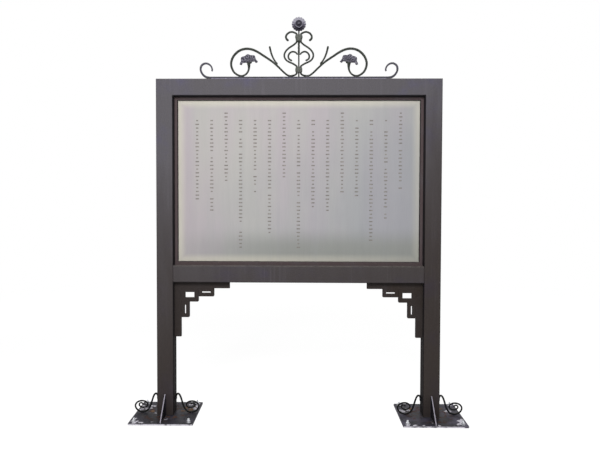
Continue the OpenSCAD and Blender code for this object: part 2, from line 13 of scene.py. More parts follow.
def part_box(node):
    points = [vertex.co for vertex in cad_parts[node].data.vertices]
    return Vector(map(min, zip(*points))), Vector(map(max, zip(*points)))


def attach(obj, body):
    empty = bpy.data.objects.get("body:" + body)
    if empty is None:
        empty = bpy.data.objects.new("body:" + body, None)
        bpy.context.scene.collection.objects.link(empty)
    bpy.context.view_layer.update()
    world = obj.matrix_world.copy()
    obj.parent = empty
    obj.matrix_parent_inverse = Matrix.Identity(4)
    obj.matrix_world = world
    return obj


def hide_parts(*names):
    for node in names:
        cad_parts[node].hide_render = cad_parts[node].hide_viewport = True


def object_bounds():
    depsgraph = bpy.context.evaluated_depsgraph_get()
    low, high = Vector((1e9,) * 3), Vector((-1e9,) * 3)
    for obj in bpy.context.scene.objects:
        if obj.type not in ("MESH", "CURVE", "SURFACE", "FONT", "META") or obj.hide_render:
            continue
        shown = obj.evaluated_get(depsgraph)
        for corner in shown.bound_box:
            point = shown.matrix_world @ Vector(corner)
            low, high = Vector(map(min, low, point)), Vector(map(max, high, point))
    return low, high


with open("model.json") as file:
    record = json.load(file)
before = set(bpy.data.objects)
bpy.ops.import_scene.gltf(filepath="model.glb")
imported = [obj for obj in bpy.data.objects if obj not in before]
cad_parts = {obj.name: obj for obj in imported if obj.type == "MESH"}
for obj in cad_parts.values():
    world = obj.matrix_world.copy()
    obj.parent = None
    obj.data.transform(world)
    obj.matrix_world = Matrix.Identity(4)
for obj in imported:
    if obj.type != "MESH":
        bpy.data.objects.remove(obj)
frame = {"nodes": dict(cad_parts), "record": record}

bl_info = {
    "name": "Forged Notice Board",
    "version": (1, 0, 0),
    "blender": (4, 5, 0),
    "location": "3D View > Sidebar > Notice Board",
    "description": "Dresses the notice board's solids with paint, forging marks, welds and fixings",
    "category": "Object",
}

CAD_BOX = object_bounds()
MM = 0.001
X, Y, Z = range(3)
BODY = "root"
SIDES = ("left", "right")
EDGES = ("top", "bottom", "left", "right")
POST_X = sum(corner.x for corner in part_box("right_post")) / 2


def middle_of(node):
    low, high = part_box(node)
    return (low + high) / 2


# Properties

def a_number(name, description, default, **limits):
    return FloatProperty(name=name, description=description, default=default, **limits)


def a_length(name, description, default):
    return a_number(name, description, default, min=0.0, precision=4, subtype="DISTANCE",
                    unit="LENGTH")


def a_share(name, description, default, high=1.0):
    return a_number(name, description, default, min=0.0, max=high, subtype="FACTOR")


def an_angle(name, description, degrees):
    return a_number(name, description, math.radians(degrees), subtype="ANGLE", unit="ROTATION")


def a_colour(name, description, default):
    return FloatVectorProperty(name=name, description=description, default=default, size=3,
                               min=0.0, max=1.0, subtype="COLOR")


class PaintLook(PropertyGroup):
    """The coat on tubes, beads, brackets, gussets and base plates."""
    tube: a_colour("Tubes", "Grey coat of the tubes", (0.101, 0.095, 0.104))
    # Violet clouds on the coat, partly a painted sky reflection
    tube_sky: a_colour("Tubes, cool", "Violet tone that clouds the coat", (0.096, 0.089, 0.146))
    # Painted shade, partly soiling: this brown deepens the coat towards the ground and to the right
    grime_shade: a_colour("Grime_and_shade", "Brown film that thickens towards the ground", (0.031, 0.022, 0.016))
    bead: a_colour("Beads", "Warmer coat of the retaining beads", (0.085, 0.064, 0.066))
    # Paler than the frame's coat, partly as a painted highlight along the strip's upper face
    strip: a_colour("Strip", "Pale violet coat of the crest's mounting strip", (0.32, 0.30, 0.41))
    # Dark joint lines, partly a sealing compound and partly painted shadow
    joint: a_colour("Joints", "Dark mastic round the beads and the plate", (0.012, 0.010, 0.012))
    fret: a_colour("Brackets", "Coat of the fret brackets", (0.040, 0.034, 0.034))
    # Painted shade on faces that look down or in towards the middle of the board
    shadow_tone: a_colour("Shadowing", "Shading on faces that rain doesn't reach", (0.008, 0.007, 0.008))
    # Painted shade along the brackets' edges, where their seams lie in shadow
    seam: a_colour("Seams", "Shading along the brackets' edges", (0.010, 0.009, 0.009))
    foot: a_colour("Feet", "Blue-grey coat of the base plates", (0.016, 0.016, 0.022))
    # Painted violet sheen that clouds the base plates, stronger on the right one
    sheen: a_colour("Feet, violet", "Tone that clouds the base plates", (0.078, 0.070, 0.106))
    worn: a_colour("Worn edge", "Coat thinned along the edges", (0.26, 0.24, 0.29))
    # Bare steel on the gussets' slim faces, lightened as a painted highlight
    gusset_edge_highlight: a_colour("Gusset edge", "Bare edge of the gussets", (0.42, 0.39, 0.46))
    # Dust on upper faces, which also serves there as a painted sheen
    dust: a_colour("Dust", "Dust that settles on upper faces", (0.30, 0.27, 0.24))
    rust: a_colour("Rust", "Rust where the coat has gone", (0.085, 0.040, 0.024))
    soil: a_colour("Soil", "Rusty soil on the base plates", (0.13, 0.072, 0.036))
    mortar: a_colour("Mortar", "Mortar left on the base plates", (0.62, 0.60, 0.66))
    roughness: a_share("Roughness", "Roughness of a clean coat", 0.5)
    gloss: a_share("Gloss", "Specular level of the coats", 0.06)


class MetalLook(PropertyGroup):
    """Forged bars, castings, notice plate, backing and fixings."""
    bar: a_colour("Bars", "Grey-green coat of the forged bars", (0.044, 0.050, 0.043))
    bar_dark: a_colour("Bars, dark", "Hollows of the forged bars", (0.010, 0.011, 0.010))
    casting: a_colour("Castings", "Purple-grey coat of leaves and rosette", (0.104, 0.097, 0.128))
    # Painted highlight on the castings' ridges and upper faces
    casting_highlight: a_colour("Castings, pale", "Their dusty ridges", (0.31, 0.30, 0.35))
    # Painted shade in the castings' hollows and on their lower faces
    casting_shade: a_colour("Castings, dark", "Their hollows", (0.020, 0.018, 0.026))
    base_bar: a_colour("Base bar", "Violet-grey coat of the base bar", (0.070, 0.067, 0.086))
    collar: a_colour("Collars", "Coat of the two collars", (0.128, 0.134, 0.120))
    plate: a_colour("Notice plate", "Brushed sheet of the notice", (0.445, 0.435, 0.415))
    # Painted shade towards the sheet's lower right corner, and the colour of its runs
    plate_shade_and_runs: a_colour("Plate, cool", "Duller corner of the sheet", (0.31, 0.32, 0.345))
    plate_violet: a_colour("Plate, violet", "Tone that clouds the sheet", (0.447, 0.402, 0.424))
    plate_film: a_colour("Plate, film", "Olive film along its lower edge", (0.25, 0.26, 0.24))
    # Painted warm reflection along the sheet's border, strongest towards the upper left
    plate_rim: a_colour("Plate, rim", "Reflected cream border of the sheet", (0.60, 0.575, 0.49))
    mark: a_colour("Marks", "Fill of the generic dashes", (0.16, 0.145, 0.135))
    zinc: a_colour("Zinc", "Studs, nuts, washers and screws", (0.78, 0.79, 0.82))
    board: a_colour("Backing", "Coat of the backing panel", (0.100, 0.095, 0.095))
    wood: a_colour("Backing, bare", "Plywood where the coat has flaked", (0.24, 0.165, 0.105))
    hammer_depth: a_length("Hammer marks", "Depth of the hammer marks on bars", 0.0004)
    casting_depth: a_length("Casting skin", "Depth of the uneven skin of castings", 0.0004)
    gloss: a_share("Gloss", "Specular level of forged bars and castings", 0.15)


class NoticeLayout(PropertyGroup):
    """The generic dashes on the notice plate."""
    columns: IntProperty(name="Columns", description="Number of columns", default=15, min=1)
    margin: a_length("Margin", "Bare border of the plate", 0.135)
    row_pitch: a_length("Row pitch", "Distance from dash to dash", 0.0225)
    dash_width: a_length("Dash width", "Widest dash", 0.021)
    dash_height: a_length("Dash height", "Height of a dash", 0.0075)
    relief: a_length("Relief", "How far the fill stands proud of the plate", 0.0003)


class FixingSizes(PropertyGroup):
    """Anchors in the base plates and welds along the joints."""
    stud_d: a_length("Stud", "Diameter of an anchor stud", 0.012)
    stud_h: a_length("Stud height", "Height of a stud above the base plate", 0.024)
    thread_pitch: a_length("Thread pitch", "Pitch of the stud's thread", 0.00175)
    nut_width: a_length("Nut", "Width of the nut over its flats", 0.018)
    nut_h: a_length("Nut height", "Height of the nut", 0.010)
    washer_d: a_length("Washer", "Diameter of the washer", 0.024)
    washer_t: a_length("Washer thickness", "Thickness of the washer", 0.0025)
    weld_r: a_length("Weld", "Radius of the weld beads round the posts' feet", 0.0035)
    fine_weld_r: a_length("Fine weld", "Radius of the other weld beads", 0.0025)
    lump_r: a_length("Weld lump", "Radius of the lumps where crest bars meet", 0.0065)
    ripple: a_length("Weld ripple", "Distance from ripple to ripple", 0.0035)
    mastic_shadow_r: a_length("Outer joint", "Radius of the mastic between bead and tube", 0.0032)
    gasket_shadow_r: a_length("Inner joint", "Radius of the mastic between plate and bead", 0.0026)
    film: a_length("Paint film", "Paint and scale that swell the forged bars", 0.0008)


class StudioSetup(PropertyGroup):
    """Camera, lamps and floor."""
    stand: FloatVectorProperty(name="Camera place", description="Where the camera stands",
                               default=(0.014, -3.656, 1.3407), subtype="TRANSLATION",
                               unit="LENGTH")
    yaw: an_angle("Yaw", "Turn of the camera to the left", 0.974)
    pitch: an_angle("Pitch", "Tilt of the camera upwards", -1.8)
    roll: an_angle("Roll", "Roll of the camera", 0.135)
    lens: a_number("Lens", "Focal length of the camera in millimetres", 36.36, min=1.0,
                   subtype="DISTANCE_CAMERA")
    shift_x: a_number("Shift across", "Lens shift across, a share of the width", 0.016)
    shift_y: a_number("Shift up", "Lens shift upwards, a share of the width", -0.01838)
    key: a_number("Key lamp", "Power of the soft lamp above the front", 114.0, min=0.0,
                  unit="POWER")
    back: a_number("Back lamp", "Power of the soft lamp above the back", 60.0, min=0.0,
                   unit="POWER")
    ambient: a_share("Ambient", "Strength of the even light from all round", 0.2)
    floor: a_colour("Floor", "Pale floor", (0.90, 0.90, 0.90))
    glow: a_share("Floor glow", "Share of plain white in the floor near the board", 0.6)
    lift: a_share("Floor lift", "Strength of that white", 1.36, 2.0)
    near: a_length("Shadow reach", "How far from the board the floor still shows shadow", 2.4)
    far: a_length("White from", "Distance from which the floor is plain white", 6.0)


# Shader nodes

def rgba(colour):
    return (*colour, 1.0)


def toned(colour, share):
    return tuple(share * c for c in colour)


class Signal:
    """An output of a node, with plain notation for the sums and masks made of it."""

    def __init__(self, nodes, socket):
        self.nodes, self.socket = nodes, socket

    def __add__(self, other):
        return self.nodes.math("ADD", self, other)

    def __sub__(self, other):
        return self.nodes.math("SUBTRACT", self, other)

    def __rsub__(self, other):
        return self.nodes.math("SUBTRACT", other, self)

    def __mul__(self, other):
        return self.nodes.math("MULTIPLY", self, other)

    def __truediv__(self, other):
        return self.nodes.math("DIVIDE", self, other)

    def __pow__(self, other):
        return self.nodes.math("POWER", self, other)

    def __abs__(self):
        return self.nodes.math("ABSOLUTE", self)

    def clamped(self):
        """The sum just made, held between 0 and 1."""
        self.socket.node.use_clamp = True
        return self

    def spread(self, low, high, to_low=0.0, to_high=1.0):
        """Maps the range low to high onto another one, smoothly and clamped."""
        inputs = {"Value": self, "From Min": low, "From Max": high, "To Min": to_low,
                  "To Max": to_high}
        return self.nodes.put("ShaderNodeMapRange", inputs, interpolation_type="SMOOTHSTEP")


class Nodes:
    """The nodes of one coat, effect or world."""

    def __init__(self, tree):
        self.tree = tree

    def feed(self, socket, value):
        """Links a signal to an input and sets any other value on it."""
        if isinstance(value, Signal):
            self.tree.links.new(value.socket, socket)
        else:
            socket.default_value = value

    def put(self, kind, inputs=None, output=0, **settings):
        """Adds a node with its settings and inputs and gives one of its outputs."""
        node = self.tree.nodes.new(kind)
        for name, value in settings.items():
            setattr(node, name, value)
        for name, value in (inputs or {}).items():
            self.feed(node.inputs[name], value)
        return Signal(self, node.outputs[output])

    def math(self, operation, a, b=0.0):
        return self.put("ShaderNodeMath", {0: a, 1: b}, operation=operation)

    def place(self, x=1.0, z=1.0):
        """The piece's own place in metres; x or z below 1 draws a pattern out that way."""
        where = self.put("ShaderNodeTexCoord", output="Object")
        if x == z == 1.0:
            return where
        return self.put("ShaderNodeMapping", {"Vector": where, "Scale": (x, 1.0, z)})

    def axes(self, vector=None):
        """X, Y and Z of a vector, or of the piece's own place."""
        split = self.put("ShaderNodeSeparateXYZ", {"Vector": vector or self.place()})
        return [Signal(self, socket) for socket in split.socket.node.outputs]

    def facing(self):
        """How far the surface looks along X, Y and Z."""
        return self.axes(self.put("ShaderNodeNewGeometry", output="Normal"))

    def length(self, **parts):
        """The length of a vector that is given by its parts."""
        vector = self.put("ShaderNodeCombineXYZ", parts)
        return self.put("ShaderNodeVectorMath", {0: vector}, "Value", operation="LENGTH")

    def grain(self, scale, detail=4.0, rough=0.55, **stretch):
        """Noise between 0 and 1."""
        inputs = {"Vector": self.place(**stretch), "Scale": scale, "Detail": detail,
                  "Roughness": rough}
        return self.put("ShaderNodeTexNoise", inputs, "Fac")

    def blend(self, share, a, b, mode="MIX"):
        """Mixes two colours, either of which may be a signal."""
        a, b = (c if isinstance(c, Signal) else rgba(c) for c in (a, b))
        return self.put("ShaderNodeMix", {0: share, 6: a, 7: b}, 2, data_type="RGBA",
                        blend_type=mode)

    def seen_by(self, *rays):
        """1 for camera rays and the other rays named."""
        path = self.put("ShaderNodeLightPath").socket.node.outputs
        seen = Signal(self, path["Is Camera Ray"])
        for ray in rays:
            seen = self.math("MAXIMUM", seen, Signal(self, path[f"Is {ray} Ray"]))
        return seen

    def effect(self, build, **inputs):
        """Places an effect with its own values and gives its output, or a list of them."""
        if build not in EFFECTS:
            EFFECTS[build] = build()
        group = self.put("ShaderNodeGroup", inputs, node_tree=EFFECTS[build]).socket.node
        outputs = [Signal(self, socket) for socket in group.outputs]
        return outputs[0] if len(outputs) == 1 else outputs

    def give(self, **outputs):
        """Wires a group's named outputs; the group is then ready."""
        for label in outputs:
            self.tree.interface.new_socket(label, in_out="OUTPUT", socket_type="NodeSocketFloat")
        end = self.tree.nodes.new("NodeGroupOutput")
        for label, signal in outputs.items():
            self.feed(end.inputs[label], signal)
        return self.tree


class Coat(Nodes):
    """A material under way; the colour that is mixed so far is kept in colour."""

    def __init__(self, name, colour, gloss=0.5, metallic=0.0):
        self.material = bpy.data.materials.new(name)
        self.material.use_nodes = True
        super().__init__(self.material.node_tree)
        self.shader = self.tree.nodes["Principled BSDF"].inputs
        self.shader["Specular IOR Level"].default_value = gloss
        self.shader["Metallic"].default_value = metallic
        self.colour = colour

    def tint(self, share, colour):
        """Lays a colour over the coat, wholly where share is 1."""
        self.colour = self.blend(share, self.colour, colour)

    def shade(self, tone):
        """Darkens the coat by a grey, or lightens it where the grey is above 1."""
        grey = self.put("ShaderNodeCombineColor", {0: tone, 1: tone, 2: tone})
        self.colour = self.blend(1.0, self.colour, grey, "MULTIPLY")

    def finish(self, roughness, height, strength, distance):
        """Wires colour, roughness and relief to the shader and gives the material."""
        relief = {"Height": height, "Strength": strength, "Distance": distance}
        self.feed(self.shader["Base Color"], self.colour)
        self.feed(self.shader["Roughness"], roughness)
        self.feed(self.shader["Normal"], self.put("ShaderNodeBump", relief))
        return self.material


# Effects

EFFECTS = {}


def new_effect(name, **inputs):
    """The nodes of an empty group, and a signal for each of its named inputs."""
    fx = Nodes(bpy.data.node_groups.new(name, "ShaderNodeTree"))
    for label, default in inputs.items():
        socket = fx.tree.interface.new_socket(label, in_out="INPUT", socket_type="NodeSocketFloat")
        socket.default_value = default
    given = fx.tree.nodes.new("NodeGroupInput").outputs
    return fx, *(Signal(fx, given[label]) for label in inputs)


def edge_wear_and_shade():
    """Mask along the edges, broken up so that the line comes and goes; on the brackets it lays
    painted shade.
    """
    fx, width, breakup = new_effect("Edge wear", Width=0.002, Breakup=45.0)
    rounded = fx.put("ShaderNodeBevel", {"Radius": width}, samples=6)
    flat = fx.put("ShaderNodeNewGeometry", output="Normal")
    likeness = fx.put("ShaderNodeVectorMath", {0: rounded, 1: flat}, "Value",
                      operation="DOT_PRODUCT")
    return fx.give(Mask=likeness.spread(0.99, 0.80) * fx.grain(breakup).spread(0.35, 0.62))


def rain_streaks():
    """Long vertical runs that rain leaves in a coat."""
    fx, fineness, amount = new_effect("Rain streaks", Fineness=40.0, Amount=0.5)
    runs = fx.grain(fineness, 3.0, 0.6, z=0.035).spread(0.5, 0.75)
    return fx.give(Mask=runs * fx.grain(6.0, z=0.3).spread(0.35, 0.65) * amount)


def dust_and_sheen():
    """Dust and a painted sheen: mask on faces that look up, thicker in patches."""
    fx, scale, amount = new_effect("Sheeny dust", Scale=18.0, Amount=0.5)
    patchy = fx.grain(scale, 5.0, 0.65).spread(0.25, 0.75)
    return fx.give(Mask=fx.facing()[Z].spread(0.35, 0.95) * patchy * amount)


def blotches():
    """Patches with frayed rims; Coverage is the share of the surface that they take."""
    fx, scale, coverage, fray = new_effect("Blotches", Scale=20.0, Coverage=0.3, Fray=0.08)
    edge = 0.72 - coverage * 0.44
    return fx.give(Mask=fx.grain(scale, 6.0, 0.62).spread(edge, edge + fray))


def hammer_marks():
    """Shallow dents left by a hammer, as a height and as a mask of the hollows."""
    fx, scale, roughening = new_effect("Hammer marks", Scale=90.0, Roughening=0.25)
    cells = fx.put("ShaderNodeTexVoronoi", {"Vector": fx.place(), "Scale": scale}, "Distance",
                   feature="SMOOTH_F1")
    return fx.give(Height=cells + fx.grain(700.0) * roughening, Hollow=cells.spread(0.55, 0.12))


def orange_peel():
    """The fine waviness of a sprayed coat over slightly uneven steel."""
    fx, scale, waviness = new_effect("Orange peel", Scale=420.0, Waviness=0.6)
    return fx.give(Height=fx.grain(scale, 2.0, 0.5) + fx.grain(9.0, 2.0, 0.4) * waviness)


def brushed_lines():
    """The fine upright lines of a brushed sheet, as a shade and as a height."""
    fx, fineness = new_effect("Brushed lines", Fineness=900.0)
    lines = fx.grain(fineness, 3.0, 0.7, z=0.012)
    bands = fx.grain(40.0, 2.0, 0.5, z=0.05)
    return fx.give(Shade=lines * 0.7 + bands * 0.3, Height=lines)


def splash_grime_and_shade():
    """Painted shade, partly soiling: a mask that thickens from Top downwards and on the side Lean
    turns to.
    """
    fx, top, amount, lean = new_effect("Splash grime", Top=1.75, Amount=0.5, Lean=0.28)
    x, _, z = fx.axes()
    ragged = fx.grain(9.0, z=0.2).spread(0.3, 0.7, -0.12, 0.12)
    share = ((z - x * lean + ragged) / top).clamped()
    return fx.give(Mask=(1.0 - share ** 2.5) * amount)


def side_shade():
    """Painted shade: mask on faces that look down or in towards the middle of the board."""
    fx, amount = new_effect("Shaded side", Amount=0.8)
    sideways, _, up = fx.facing()
    outward = sideways * fx.math("SIGN", fx.axes()[X])
    mask = fx.math("MAXIMUM", outward.spread(-0.4, -0.9), up.spread(-0.4, -0.9))
    return fx.give(Mask=mask * amount)


def near_post():
    """Mask round the foot of either post, out to Reach from its axis."""
    fx, reach = new_effect("Near post", Reach=0.15)
    x, y, _ = fx.axes()
    away = fx.length(X=abs(x) - POST_X, Y=y)
    return fx.give(Mask=(away / reach).spread(1.15, 0.7))


# Materials

def painted_steel(look, name, base, cool, wear_and_light, streaks, dust, grime_shade=0.0, edge=None, slim=False):
    """A sprayed coat that clouds, thins at its edges and gathers dust, with painted shade and
    sheen; slim bares slim faces.
    """
    coat = Coat(name, base, look.gloss)
    coat.tint(coat.effect(blotches, Scale=3.6, Coverage=0.55, Fray=0.35), cool)
    # Painted shade, partly soiling: darker towards the ground and more to the right
    coat.tint(coat.effect(splash_grime_and_shade, Top=1.75, Amount=grime_shade, Lean=0.28), look.grime_shade)
    coat.shade(coat.grain(160.0).spread(0.2, 0.8, 0.86, 1.12))
    runs = coat.effect(rain_streaks, Fineness=55.0, Amount=streaks)
    coat.tint(runs, look.worn)
    # Dust and painted sheen on faces that look up
    dust_lit = coat.effect(dust_and_sheen, Scale=22.0, Amount=dust)
    coat.tint(dust_lit, look.dust)
    # Painted shade on faces that look down or in towards the middle
    shade_mask = coat.effect(side_shade, Amount=0.85)
    coat.tint(shade_mask, look.shadow_tone)
    # Edges: worn coat, painted shade on the brackets, and a painted highlight over bare steel on
    # slim faces
    if slim:
        edges = abs(coat.facing()[X]).spread(0.7, 0.3)
    else:
        edges = coat.effect(edge_wear_and_shade, Width=0.0022, Breakup=38.0)
    coat.tint(edges * wear_and_light, edge or look.worn)
    rough = ((dust_lit + shade_mask) * 0.4 + look.roughness + runs * 0.2).clamped()
    peel = coat.effect(orange_peel, Scale=420.0, Waviness=1.4)
    return coat.finish(rough, peel, strength=0.18, distance=0.0008)


def footing_paint(name, look):
    """The base plates' coat: scuffed, rusty in places, smeared with mortar and clouded with painted
    sheen.
    """
    coat = Coat(name, look.foot, look.gloss)
    cloud = coat.effect(blotches, Scale=9.0, Coverage=0.75, Fray=0.3)
    # Painted sheen, stronger towards the right
    coat.tint(cloud * coat.axes()[X].spread(-0.5, 0.5, 0.35, 1.0), look.sheen)
    rust = coat.effect(blotches, Scale=34.0, Coverage=0.5, Fray=0.12)
    rust = rust * coat.effect(near_post, Reach=0.15)
    coat.tint(rust * 0.8, look.rust)
    smear = coat.effect(blotches, Scale=11.0, Coverage=0.16, Fray=0.05)
    coat.tint(smear * 0.8, look.mortar)
    coat.tint(coat.effect(dust_and_sheen, Scale=45.0, Amount=0.06), look.dust)
    coat.tint(coat.effect(edge_wear_and_shade, Width=0.003, Breakup=60.0) * 0.35, look.worn)
    scum = coat.effect(blotches, Scale=24.0, Coverage=0.8, Fray=0.2)
    coat.tint(scum * coat.facing()[Y].spread(-0.5, -0.9), look.mortar)
    rough = ((rust + smear) * 0.4 + 0.45).clamped()
    relief = smear * 2.0 + (rust + coat.effect(orange_peel, Scale=300.0, Waviness=1.0))
    return coat.finish(rough, relief, strength=0.3, distance=0.001)


def cast_rosette(name, metal):
    """Cast coat of the rosette: painted highlight on upper faces and lip, painted shade in the cup
    and lower rim.
    """
    coat = Coat(name, metal.casting_shade, metal.gloss)
    middle = middle_of("rosette_boss")
    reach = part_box("rosette_petals")[1].x
    cup_edge, cup_wall, lip_edge, lip_wall = (share * reach for share in (0.46, 0.38, 0.72, 0.6))
    x, _, z = coat.axes(coat.put("ShaderNodeVectorMath", {0: coat.place(), 1: middle},
                                 operation="SUBTRACT"))
    away, up = coat.length(X=x, Z=z), coat.facing()[Z]
    # Painted light: lighter on faces that look up and towards the top of the rosette
    lit = (up * 0.55 + z.spread(-1.05 * reach, 0.7 * reach)).clamped()
    coat.tint(lit.spread(0.0, 0.5), metal.casting)
    coat.tint(lit.spread(0.5, 1.0), metal.casting_highlight)
    # Painted shade in the hollow of the cup
    cup = away.spread(cup_edge, cup_wall) * up.spread(0.5, 0.1)
    coat.tint(cup * 0.9, metal.casting_shade)
    # Painted highlight on the lip
    lip = up.spread(0.15, 0.5) * away.spread(lip_edge, lip_wall)
    coat.tint(lip * 0.8, metal.casting_highlight)
    height, hollow = coat.effect(hammer_marks, Scale=130.0, Roughening=0.35)
    return coat.finish(hollow.spread(0.0, 1.0, 0.4, 0.6), height, strength=0.2, distance=0.0010)


def cast_leaf(name, metal, look):
    """Cast coat of the fan leaves: pale veins from the root as painted highlights, painted shade
    between them.
    """
    coat = Coat(name, metal.casting, metal.gloss)
    root = leaf_root("right")
    x, _, z = coat.axes()
    across, above = abs(x) - root.x, z - root.z
    wander = coat.grain(70.0).spread(0.3, 0.7, -0.1, 0.1)
    turn = (coat.math("ARCTAN2", across, above) + wander) * 19.0
    vein = coat.math("COSINE", turn).spread(-0.6, 0.9)
    broken = coat.grain(120.0).spread(0.35, 0.65, 0.3, 1.0)
    # Darker towards the root
    coat.tint(coat.length(X=across, Z=above).spread(0.052, 0.006), metal.casting_shade)
    # Painted shade between the veins
    coat.tint((1.0 - vein) * 0.75, metal.casting_shade)
    # Painted highlight along the veins, broken up
    coat.tint(vein * broken * 0.6, metal.casting_highlight)
    coat.tint(coat.effect(dust_and_sheen, Scale=60.0, Amount=0.25), look.dust)
    height, _ = coat.effect(hammer_marks, Scale=120.0, Roughening=0.35)
    rough = vein.spread(0.0, 1.0, 0.6, 0.42)
    return coat.finish(rough, height + vein, strength=0.35, distance=0.0012)


def forged_coat(look, name, base, hollow, gloss, scale, strength, dust):
    """Paint over a hammered skin: darker in the hollows and thin on the ridges."""
    coat = Coat(name, base, gloss)
    height, dents = coat.effect(hammer_marks, Scale=scale, Roughening=0.35)
    coat.tint(dents * 0.75, hollow)
    coat.tint(coat.effect(blotches, Scale=26.0, Coverage=0.4, Fray=0.2) * 0.14, look.worn)
    coat.tint(coat.effect(dust_and_sheen, Scale=60.0, Amount=dust), look.dust)
    return coat.finish(dents.spread(0.0, 1.0, 0.34, 0.58), height, strength, distance=0.0012)


# Heights above the plate's lower edge where the film starts and is full, and distances from its
# outer edge where the rim starts and is full
FILM_FROM, FILM_FULL = 0.24, 0.10
RIM_FROM, RIM_FULL = 0.075, 0.025


def brushed_sheet(name, metal):
    """The notice plate: brushed upright, with faint runs, a painted warm reflection at its rim and
    painted shade lower right.
    """
    coat = Coat(name, metal.plate, metallic=0.25)
    low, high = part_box("notice_plate")
    half, middle = (high - low) / 2, (low.z + high.z) / 2
    x, _, z = coat.axes()
    to_corner = x - z * 0.8
    drift = coat.grain(1.6, 3.0).spread(0.3, 0.7, -0.2, 0.2)
    coat.tint(coat.grain(3.7, 2.0, z=0.16).spread(0.38, 0.62), metal.plate_violet)
    # Painted shade: the sheet darkens towards its lower right corner, as if lit from the upper left
    coat.tint((to_corner + drift).spread(-1.9, 0.2), metal.plate_shade_and_runs)
    film = z.spread(low.z + FILM_FROM, low.z + FILM_FULL, 0.0, 0.85)
    coat.tint(film * x.spread(low.x, 0.0, 0.25, 1.0), metal.plate_film)
    # Painted warm reflection along the border, strongest towards the upper left
    outward = coat.math("MAXIMUM", abs(x) - half.x, abs(z - middle) - half.z)
    rim = outward.spread(-RIM_FROM, -RIM_FULL) * to_corner.spread(0.4, -1.6, 0.25, 0.8)
    coat.tint(rim, metal.plate_rim)
    lines, height = coat.effect(brushed_lines, Fineness=900.0)
    coat.shade(lines.spread(0.25, 0.75, 0.93, 1.05))
    coat.tint(coat.effect(rain_streaks, Fineness=22.0, Amount=0.2), metal.plate_shade_and_runs)
    return coat.finish(lines.spread(0.2, 0.8, 0.34, 0.46), height, strength=0.08, distance=0.0004)


def zinc_coat(name, metal):
    """Bright zinc with a fine spangle and dull patches."""
    coat = Coat(name, metal.zinc, metallic=0.9)
    cells = coat.put("ShaderNodeTexVoronoi", {"Vector": coat.place(), "Scale": 260.0}, "Color")
    spangle = coat.put("ShaderNodeSeparateColor", {"Color": cells})
    coat.shade(spangle.spread(0.0, 1.0, 0.86, 1.0))
    dull = coat.effect(blotches, Scale=70.0, Coverage=0.4, Fray=0.15)
    return coat.finish(dull.spread(0.0, 1.0, 0.28, 0.5), spangle, strength=0.05, distance=0.0003)


def backing_panel(name, metal, look):
    """Painted plywood whose grain shows through the coat, which has flaked in places."""
    coat = Coat(name, metal.board)
    ridge = coat.grain(60.0, 6.0, 0.6, x=0.07).spread(0.3, 0.72)
    pores = coat.grain(420.0, 2.0, 0.7, x=0.02)
    coat.tint(ridge, toned(metal.board, 0.8))
    coat.tint(coat.effect(rain_streaks, Fineness=26.0, Amount=0.1), look.worn)
    wood = coat.blend(pores.spread(0.4, 0.7), metal.wood, toned(metal.wood, 0.5))
    flaked = coat.effect(blotches, Scale=13.0, Coverage=0.2, Fray=0.03)
    coat.tint(flaked, wood)
    rough = pores.spread(0.2, 0.8, 0.6, 0.85)
    return coat.finish(rough, pores + ridge - flaked, strength=0.25, distance=0.0006)


def gritty_skin(name, base, damp, fleck):
    """Gritty mortar or soil, damp in patches."""
    coat = Coat(name, base)
    grit = coat.grain(320.0, 8.0, 0.7)
    coat.tint(coat.effect(blotches, Scale=30.0, Coverage=0.4, Fray=0.25) * 0.5, damp)
    coat.tint(grit.spread(0.5, 0.85, 0.0, 0.5), fleck)
    return coat.finish(grit.spread(0.2, 0.8, 0.75, 0.95), grit, strength=0.6, distance=0.002)


def mark_fill(name, metal):
    """Matt fill of the dashes, a little uneven."""
    coat = Coat(name, metal.mark)
    skin = coat.grain(90.0)
    coat.tint(skin.spread(0.35, 0.7), toned(metal.mark, 1.8))
    return coat.finish(skin.spread(0.2, 0.8, 0.5, 0.7), skin, strength=0.1, distance=0.0003)


MATERIALS = {}


